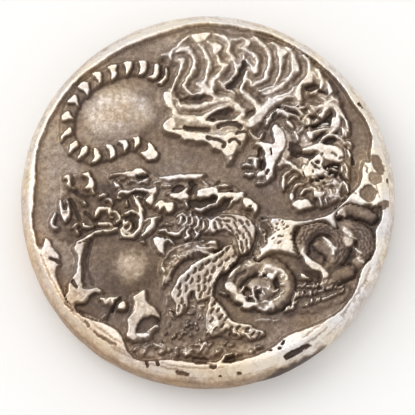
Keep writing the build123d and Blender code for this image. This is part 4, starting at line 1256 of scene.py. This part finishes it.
hold()
speckle("dragon_tail_arch", 0.42, 0.05, 0.10)
limb(2.0, 9.7,-5.6, 9.9,-4.2, 10.8,-3.2, 12.2,-2.9, 13.3,-3.5, 13.8,-4.7, 13.6,-6.1, 12.7,-7.2,
     top=0.74, tone=0.15)
limb(1.7, 13.2,-1.7, 14.5,-1.2, 15.8,-1.5, 17,-2.1, top=0.8, tone=0.15)
limb(2.2, 14.2,-3.0, 15.4,-3.4, 16.3,-4.3, 16.3,-5.7, 15.5,-6.9, top=0.76, tone=0.15)
limb(1.6, 11.4,-5.0, 12.4,-5.6, 12.9,-6.5, top=0.62, tone=0.15)
limb(2.0, 14.6,-7.8, 13.4,-8.2, 12.2,-9, top=0.55, tone=0.15)
scales(0.42, 1.6, 10,-5.2, 10.4,-3.8, 11.6,-3.0, 13,-3.4, 13.7,-5, 13.3,-6.5, dark=0.10,
       depth=0.07)
scales(0.42, 1.6, 14.6,-3.2, 15.9,-4, 16.3,-5.2, 15.6,-6.8, dark=0.12, depth=0.07)
ridge(0.42, 12,-4.3, 12.5,-4.8, 12.9,-5.3, 13.2,-5.45)
ridge(0.2, 12.95,-5.5, 12.95,-6)
land(9.9,-5.3, 10.1,-6, 10.7,-6.6, 11.6,-7.1, 12.4,-7.9, 12.3,-8.4, 12,-8.6, 11.7,-7.9,
     10.8,-7.6, 10.3,-7.2, 10,-6.6, 9.7,-6)
land(9.6,-8.1, 9.9,-8.1, 10.6,-8.6, 9.6,-8.5)
ridge(0.2, 14.1,-3.3, 14.5,-3.6, 14.9,-3.9)
ridge(0.2, 14,-3.5, 15.2,-4.4)
land(14.1,-4.2, 14.7,-4.3, 15,-4.6, 14.9,-5.2, 14.3,-5.1, bright=0.72)
ridge(0.25, 15.2,-5.4, 15.8,-5.9)
ridge(0.25, 15.6,-6.4, 16.1,-7)
for k in range(4):
    ridge(0.14, 13.2 + 0.25 * k,-1 - 0.1 * k, 13.4 + 0.25 * k,-1.7 - 0.1 * k, top=0.7)
cut_out("dragon_tail_arch", "oxidised_silver")


# The end of the dragon's tail: a flat dark tuft below the arch, in relief like the rest,
# with rows of short broken edges that have worn bright.

hold(0.16)
speckle("dragon_tail_end", 0.4, 0.05, 0.12)
for row in ((9.3, -9.3, 10.7, -9.4, 12.5, -8.9, 14.1, -8.6),
            (9.3, -10.4, 10.6, -10.2, 12.2, -9.7, 13.7, -9.4),
            (9.9, -11.4, 11.2, -10.9, 12.5, -10.4, 13.9, -9.9),
            (7.9, -12.0, 8.6, -11.6, 8.8, -10.8, 9.2, -10.2)):
    along_row = smooth_line(row)
    for share in np.linspace(0.02, 0.98, 11):
        x, y = along_row[int(share * (len(along_row) - 1))]
        turn = chance.uniform(0.3, 1.5)
        size = chance.uniform(0.22, 0.5)
        ridge(0.28, x,y, x + 0.5 * size * math.cos(turn) + 0.05,y + 0.5 * size * math.sin(turn),
              x + size * math.cos(turn),y + size * math.sin(turn), top=chance.uniform(0.5, 0.8),
              bright=chance.uniform(0.6, 0.95))
cut_out("dragon_tail_end", "oxidised_silver")


# The dragon's fins: four small smooth leaves at the elbow, left dark between thin bright
# edges.

hold()
ridge(0.18, 5.5,-2.15, 6,-2.25, 6.4,-2.7, 6.7,-3.3, 6.8,-3.7)
ridge(0.18, 5.75,-3.5, 5.95,-4.2, 6,-5)
ridge(0.18, 5.35,-5, 5.35,-6)
ridge(0.25, 4.75,-5.7, 4.8,-6.3, 5.1,-6.7)
cut_out("dragon_fins", "oxidised_silver")


# The cloud scroll: a thick stem of cloud below the dragon's jaw that curls under at its
# foot, with a deep dark arch cut in the curl.

hold(0.45)
land(-13.4,-4.9, -12.6,-4.7, -12.9,-5.6, -13,-7.5, -13,-8, -12.9,-9.2, -12.5,-9.7,
     -11.2,-9.5, -10.9,-10, -11.8,-10.1, -12.4,-10.5, -12.8,-11, -13.6,-11, -14,-11.3,
     -14.9,-10.7, -14.4,-10, -14.3,-9.3, -14.1,-8.8, -13.6,-8, -13.35,-6.5, -13.4,-5.9,
     -13.75,-5.3, top=0.8, bright=0.72)
groove(0.35, -13.9,-8.9, -13.5,-9.4)
pit(-13.6,-11.2, -12.6,-11, -12,-10.2, -11,-10.1, -10.9,-10.8, -10,-11, -9.9,-12,
    -10.6,-12.7, -11.3,-12.8, -12,-12.4, -13.4,-12.1, -13.7,-11.6, depth=0.25, dark=0.24)
ridge(0.35, -11,-10.6, -10.7,-10.7, -10.4,-11.1, -10.1,-10.7, -9.9,-10.6)
land(-9.1,-10.5, -9.8,-10.6, -9.8,-11.3)
groove(0.3, -9,-10.6, -9.5,-11.2, -9.8,-12)
land(-8.9,-11, -8.5,-11, -8.45,-11.7, -9.25,-11.7)
ridge(0.25, -10.5,-12.3, -10.8,-12.7)
cut_out("cloud_scroll", "polished_silver")


# The rock: a bright three-armed crag between the cloud and the dragon, with a dark cave
# under its right arm.

hold(0.45)
land(-6.8,-9.8, -6.4,-9.8, -6.4,-10.4, -6.2,-11, -5.5,-11.6, -5.1,-12.1, -4.6,-13, -5,-12.6,
     -5.9,-12.4, -6.6,-12.5, -7,-13, -7.3,-13.6, -7.5,-14.3, -7.3,-14.7, -7.5,-15, -8.3,-14.6,
     -8.1,-13.6, -8.2,-12.7, -7.7,-12.2, -7.4,-11.2, -7.6,-10.5, top=0.8, bright=0.72)
pit(-7.4,-14.2, -7,-13.1, -6.4,-12.6, -5.6,-12.4, -5,-12.7, -4.8,-13.4, -5,-13.8, -6,-14,
    -6.2,-14.3, depth=0.25, dark=0.20)
land(-7.2,-14.4, -6.2,-14.3, -5.95,-14.7, -6.8,-14.8)
ridge(0.25, -5.9,-13.9, -5.4,-13.6, -4.9,-13.6)
cut_out("rock", "polished_silver")


# The waves: a low dark strip of water along the bottom, rough all over and touched with
# short bright crests where the silver has worn.

hold()
speckle("waves", 0.4, 0.06, 0.12)
for width, crest in ((0.25, (-5.6, -15.3, -5.1, -15.6, -4.3, -15.9)),
                     (0.25, (-3.8, -15.4, -3.6, -15.8)),
                     (0.22, (-3.7, -15.4, -3.3, -15.3, -3.1, -15.6, -3.2, -16)),
                     (0.25, (-3.4, -16.7, -3.2, -16.4)),
                     (0.25, (-2.6, -15.1, -2.4, -15.4, -2.1, -15.2)),
                     (0.25, (-1.6, -15.4, -0.8, -15.4)), (0.22, (-0.8, -16.2, -0.3, -15.2)),
                     (0.22, (-0.3, -15.2, -0.1, -15.5))):
    ridge(width, *crest)
for _ in range(40):
    x, y = chance.uniform(-7.6, 5.2), chance.uniform(-16.6, -14.9)
    turn, size = chance.uniform(0.0, 1.4), chance.uniform(0.15, 0.45)
    ridge(0.20, x,y, x + 0.5 * size,y + 0.6 * size * math.sin(turn), x + size * math.cos(turn),
          y + size * math.sin(turn), top=chance.uniform(0.35, 0.6), bright=chance.uniform(0.5, 0.8))
cut_out("waves", "oxidised_silver")



# The flan: the thick silver blank itself, with the field round the figures, the rounded
# edge below the rim and a plain back, which is made here with light hammer marks.


def blank_rings(columns, heights):
    """Rings of points round the rounded edge at those heights."""
    turn = np.linspace(0, 2 * math.pi, columns, endpoint=False)
    rings = []
    for z in heights:
        wide = blank_radius(turn) - edge_inset(np.clip(z, 0, THICKNESS)) - edge_wear(turn, z)
        rings.append(np.stack([wide * np.cos(turn), wide * np.sin(turn),
                               np.full(columns, z)], 1))
    return rings


def ring_faces(rings, columns):
    """Faces between rings that go from the middle of the top, over the edge, to the back."""
    faces = []
    for row in range(rings - 1):
        a = row * columns
        for k in range(columns):
            n = (k + 1) % columns
            faces.append([a + k, a + columns + k, a + columns + n, a + n])
    return faces


BLANK_COLUMNS = 540       # points round the blank
SEAT_Z = FIELD_Z - 0.30   # its hidden top, below the sheet's field
SEAT_INSET = 0.6          # how far inside the rim's edge that top stops
SEAT_SHARES = (0.02, 0.5, 1.0)
SIDE_HEIGHTS = [FIELD_Z - OVERLAP, 4.3, 4.0, 3.6, 3.2, 2.75, 2.3, 1.9, 1.5, 1.1, 0.8, 0.55, 0.36,
                0.22, 0.12, 0.06, 0.03]
BACK_Z = 0.05             # the back stands clear of the CAD's lowest plane
BACK_INSET = 0.05
BACK_SHARES = (0.985, 0.96, *np.linspace(0.93, 0.05, 23), 0.015)
turn = np.linspace(0, 2 * math.pi, BLANK_COLUMNS, endpoint=False)
rings = []
for share in SEAT_SHARES:
    wide = share * (blank_radius(turn) - EDGE_WIDTH - SEAT_INSET)
    rings.append(np.stack([wide * np.cos(turn), wide * np.sin(turn),
                           np.full(BLANK_COLUMNS, SEAT_Z)], 1))
rings += blank_rings(BLANK_COLUMNS, SIDE_HEIGHTS)
back_edge = blank_radius(turn) - edge_inset(SIDE_HEIGHTS[-1]) - BACK_INSET
for share in BACK_SHARES:
    wide = share * back_edge
    rings.append(np.stack([wide * np.cos(turn), wide * np.sin(turn),
                           np.full(BLANK_COLUMNS, BACK_Z)], 1))
blank_points = np.vstack(rings)
blank_faces = ring_faces(len(rings), BLANK_COLUMNS)
count = len(rings) * BLANK_COLUMNS
blank_faces.append(list(range(BLANK_COLUMNS)))
blank_faces.append(list(range(count - 1, count - BLANK_COLUMNS - 1, -1)))
blank_turn = np.arctan2(blank_points[:, 1], blank_points[:, 0])
# the edge below the rim gets the same patches and the same painted shadow as the rim's edge
blank_wear_and_painted_shadow = side_wear_and_painted_shadow(blank_turn, blank_points[:, 2])
# the back is evenly rubbed, in soft patches that follow no direction
BACK_SHINE = 0.72
BACK_PATCHES = 0.22
cloudy = 0
for size in (0.35, 0.6, 0.9, 1.4, 2.1, 3.0):
    heading, start = chance.uniform(0, 6.3, 2)
    run = blank_points[:, 0] * math.cos(heading) + blank_points[:, 1] * math.sin(heading)
    over = blank_points[:, 1] * math.cos(heading) - blank_points[:, 0] * math.sin(heading)
    cloudy = cloudy + np.sin(size * run + start + 1.5 * np.sin(0.7 * size * over + start)) / 6
on_back = ease(-blank_points[:, 2], -1.0, -0.2)
blank_wear_and_painted_shadow = blank_wear_and_painted_shadow + (BACK_SHINE + BACK_PATCHES * cloudy - blank_wear_and_painted_shadow) * on_back
# a few faint strokes lie on the field itself
hold()
groove(0.2, -12.1,-4.2, -12.25,-5.5, -12.1,-7, depth=0.05, dark=0.22)
ridge(0.12, 5.1,-12.8, 5.8,-12.7, 6.5,-12.7, top=0.2, bright=0.8)
ridge(0.12, 6.9,-12.9, 7.3,-12.75, top=0.2, bright=0.8)
ridge(0.15, -2.3,-0.5, -2.1,-0.9, top=0.3)
field_points, field_faces, field_wear_and_painted_light, _ = closed_tile("flan")
offset = len(field_points)
flan_points = np.vstack([field_points, blank_points])
flan_faces = field_faces + [[k + offset for k in face] for face in blank_faces]
hidden = np.full(offset - len(field_wear_and_painted_light), UNDER_SHINE)
flan_wear_and_painted_light = np.concatenate([field_wear_and_painted_light, hidden, blank_wear_and_painted_shadow])
flan = cast("flan_struck", flan_points, flan_faces, flan_wear_and_painted_light)
# the hammer only reached the back and the lower part of the edge
hammer_reach = ease(-flan_points[:, 2], -4.2, -3.4)
flan.data.attributes.new("hammered", "FLOAT", "POINT").data.foreach_set(
    "value", hammer_reach.astype(np.float32))


def hammer_marks():
    """Shallow round hammer hollows over the blank, sunk along the surface's own normal."""
    tree = bpy.data.node_groups.new("hammer_marks", "GeometryNodeTree")
    tree.interface.new_socket("Geometry", in_out="INPUT", socket_type="NodeSocketGeometry")
    spacing = tree.interface.new_socket("Mark Spacing", in_out="INPUT",
                                        socket_type="NodeSocketFloat")
    depth = tree.interface.new_socket("Mark Depth", in_out="INPUT", socket_type="NodeSocketFloat")
    tree.interface.new_socket("Geometry", in_out="OUTPUT", socket_type="NodeSocketGeometry")
    given = grow(tree, "NodeGroupInput", {})
    density = grow(tree, "ShaderNodeMath", {0: 1.0, 1: given.outputs["Mark Spacing"]},
                   operation="DIVIDE")
    place = grow(tree, "GeometryNodeInputPosition", {})
    hollows = grow(tree, "ShaderNodeTexVoronoi",
                   {"Vector": place.outputs["Position"], "Scale": density.outputs["Value"]},
                   feature="SMOOTH_F1")
    # deepest at the middle of each mark, and nothing past seven tenths of the way to the next
    fall = grow(tree, "ShaderNodeMapRange",
                {"Value": hollows.outputs["Distance"], "From Max": 0.7, "To Min": -1.0,
                 "To Max": 0.0})
    reach = grow(tree, "GeometryNodeInputNamedAttribute", {"Name": "hammered"}, data_type="FLOAT")
    limited = grow(tree, "ShaderNodeMath",
                   {0: fall.outputs["Result"], 1: reach.outputs["Attribute"]},
                   operation="MULTIPLY")
    sunk = grow(tree, "ShaderNodeMath",
                {0: limited.outputs["Value"], 1: given.outputs["Mark Depth"]},
                operation="MULTIPLY")
    normal = grow(tree, "GeometryNodeInputNormal", {})
    offset = grow(tree, "ShaderNodeVectorMath",
                  {0: normal.outputs["Normal"], "Scale": sunk.outputs["Value"]},
                  operation="SCALE")
    move = grow(tree, "GeometryNodeSetPosition",
                {"Geometry": given.outputs["Geometry"], "Offset": offset.outputs["Vector"]})
    real = grow(tree, "GeometryNodeRealizeInstances", {"Geometry": move.outputs["Geometry"]})
    silvered = grow(tree, "GeometryNodeSetMaterial",
                    {"Geometry": real.outputs["Geometry"], "Material": SILVER["oxidised_silver"]})
    grow(tree, "NodeGroupOutput", {"Geometry": silvered.outputs["Geometry"]})
    return tree, spacing.identifier, depth.identifier


MARK_SPACING = 0.0032     # metres
MARK_DEPTH = 0.00016
tree, spacing, depth = hammer_marks()
hammer = flan.modifiers.new("hammer_marks", "NODES")
hammer.node_group = tree
hammer[spacing] = MARK_SPACING
hammer[depth] = MARK_DEPTH
seen = flan.evaluated_get(bpy.context.evaluated_depsgraph_get())
beaten = bpy.data.meshes.new_from_object(seen)
flan.modifiers.remove(hammer)
flan.data = beaten
flan.data.materials.clear()
finish_piece(flan, "flan", "oxidised_silver")

# The floor, the lights and the camera: a pale table top, a large soft light overhead and
# to the left, a weaker one on the right, and a long lens looking down at the coin.

FLOOR_HALF = 3            # metres
PALE = (0.93, 0.925, 0.92, 1)
floor_mesh = bpy.data.meshes.new("pale_floor")
floor_mesh.from_pydata([(-FLOOR_HALF, -FLOOR_HALF, 0), (FLOOR_HALF, -FLOOR_HALF, 0),
                        (FLOOR_HALF, FLOOR_HALF, 0), (-FLOOR_HALF, FLOOR_HALF, 0)],
                       [], [(0, 1, 2, 3)])
floor = bpy.data.objects.new("pale_floor", floor_mesh)
bpy.context.scene.collection.objects.link(floor)
pale = bpy.data.materials.new("pale_table")
pale.use_nodes = True
paint = pale.node_tree.nodes["Principled BSDF"]
paint.inputs["Base Color"].default_value = PALE
paint.inputs["Roughness"].default_value = 0.9
floor.data.materials.append(pale)


def soft_light(name, place, size, power, colour):
    """A square soft box that faces the coin."""
    light = bpy.data.lights.new(name, "AREA")
    light.size = size
    light.energy = power
    light.color = colour
    lamp = bpy.data.objects.new(name, light)
    lamp.location = place
    lamp.rotation_euler = (-Vector(place)).to_track_quat("-Z", "Y").to_euler()
    bpy.context.scene.collection.objects.link(lamp)


soft_light("soft_box_left", (-0.34, 0.16, 0.42), 0.42, 0.95, (1.0, 0.985, 0.96))
soft_light("soft_box_over", (0.02, 0.26, 0.62), 0.40, 0.35, (1.0, 1.0, 1.0))
soft_light("soft_box_right", (0.50, -0.10, 0.30), 0.35, 0.10, (0.95, 0.97, 1.0))

world = bpy.data.worlds.new("studio")
world.use_nodes = True
backdrop = world.node_tree.nodes["Background"]
backdrop.inputs["Color"].default_value = (1.0, 0.99, 0.98, 1)
backdrop.inputs["Strength"].default_value = 0.83
bpy.context.scene.world = world
bpy.context.scene.view_settings.view_transform = "Standard"

CAMERA_AWAY = 0.600       # metres
CAMERA_RISE = math.radians(78)
LENS = 501.7              # millimetres
aim = Vector((0.0, -0.00053, 0.00275))
camera_data = bpy.data.cameras.new("camera")
camera_data.lens = LENS
camera_data.clip_start = 0.01
camera = bpy.data.objects.new("camera", camera_data)
camera.location = aim + CAMERA_AWAY * Vector((0, -math.cos(CAMERA_RISE), math.sin(CAMERA_RISE)))
camera.rotation_euler = (aim - camera.location).to_track_quat("-Z", "Y").to_euler()
bpy.context.scene.collection.objects.link(camera)
bpy.context.scene.camera = camera
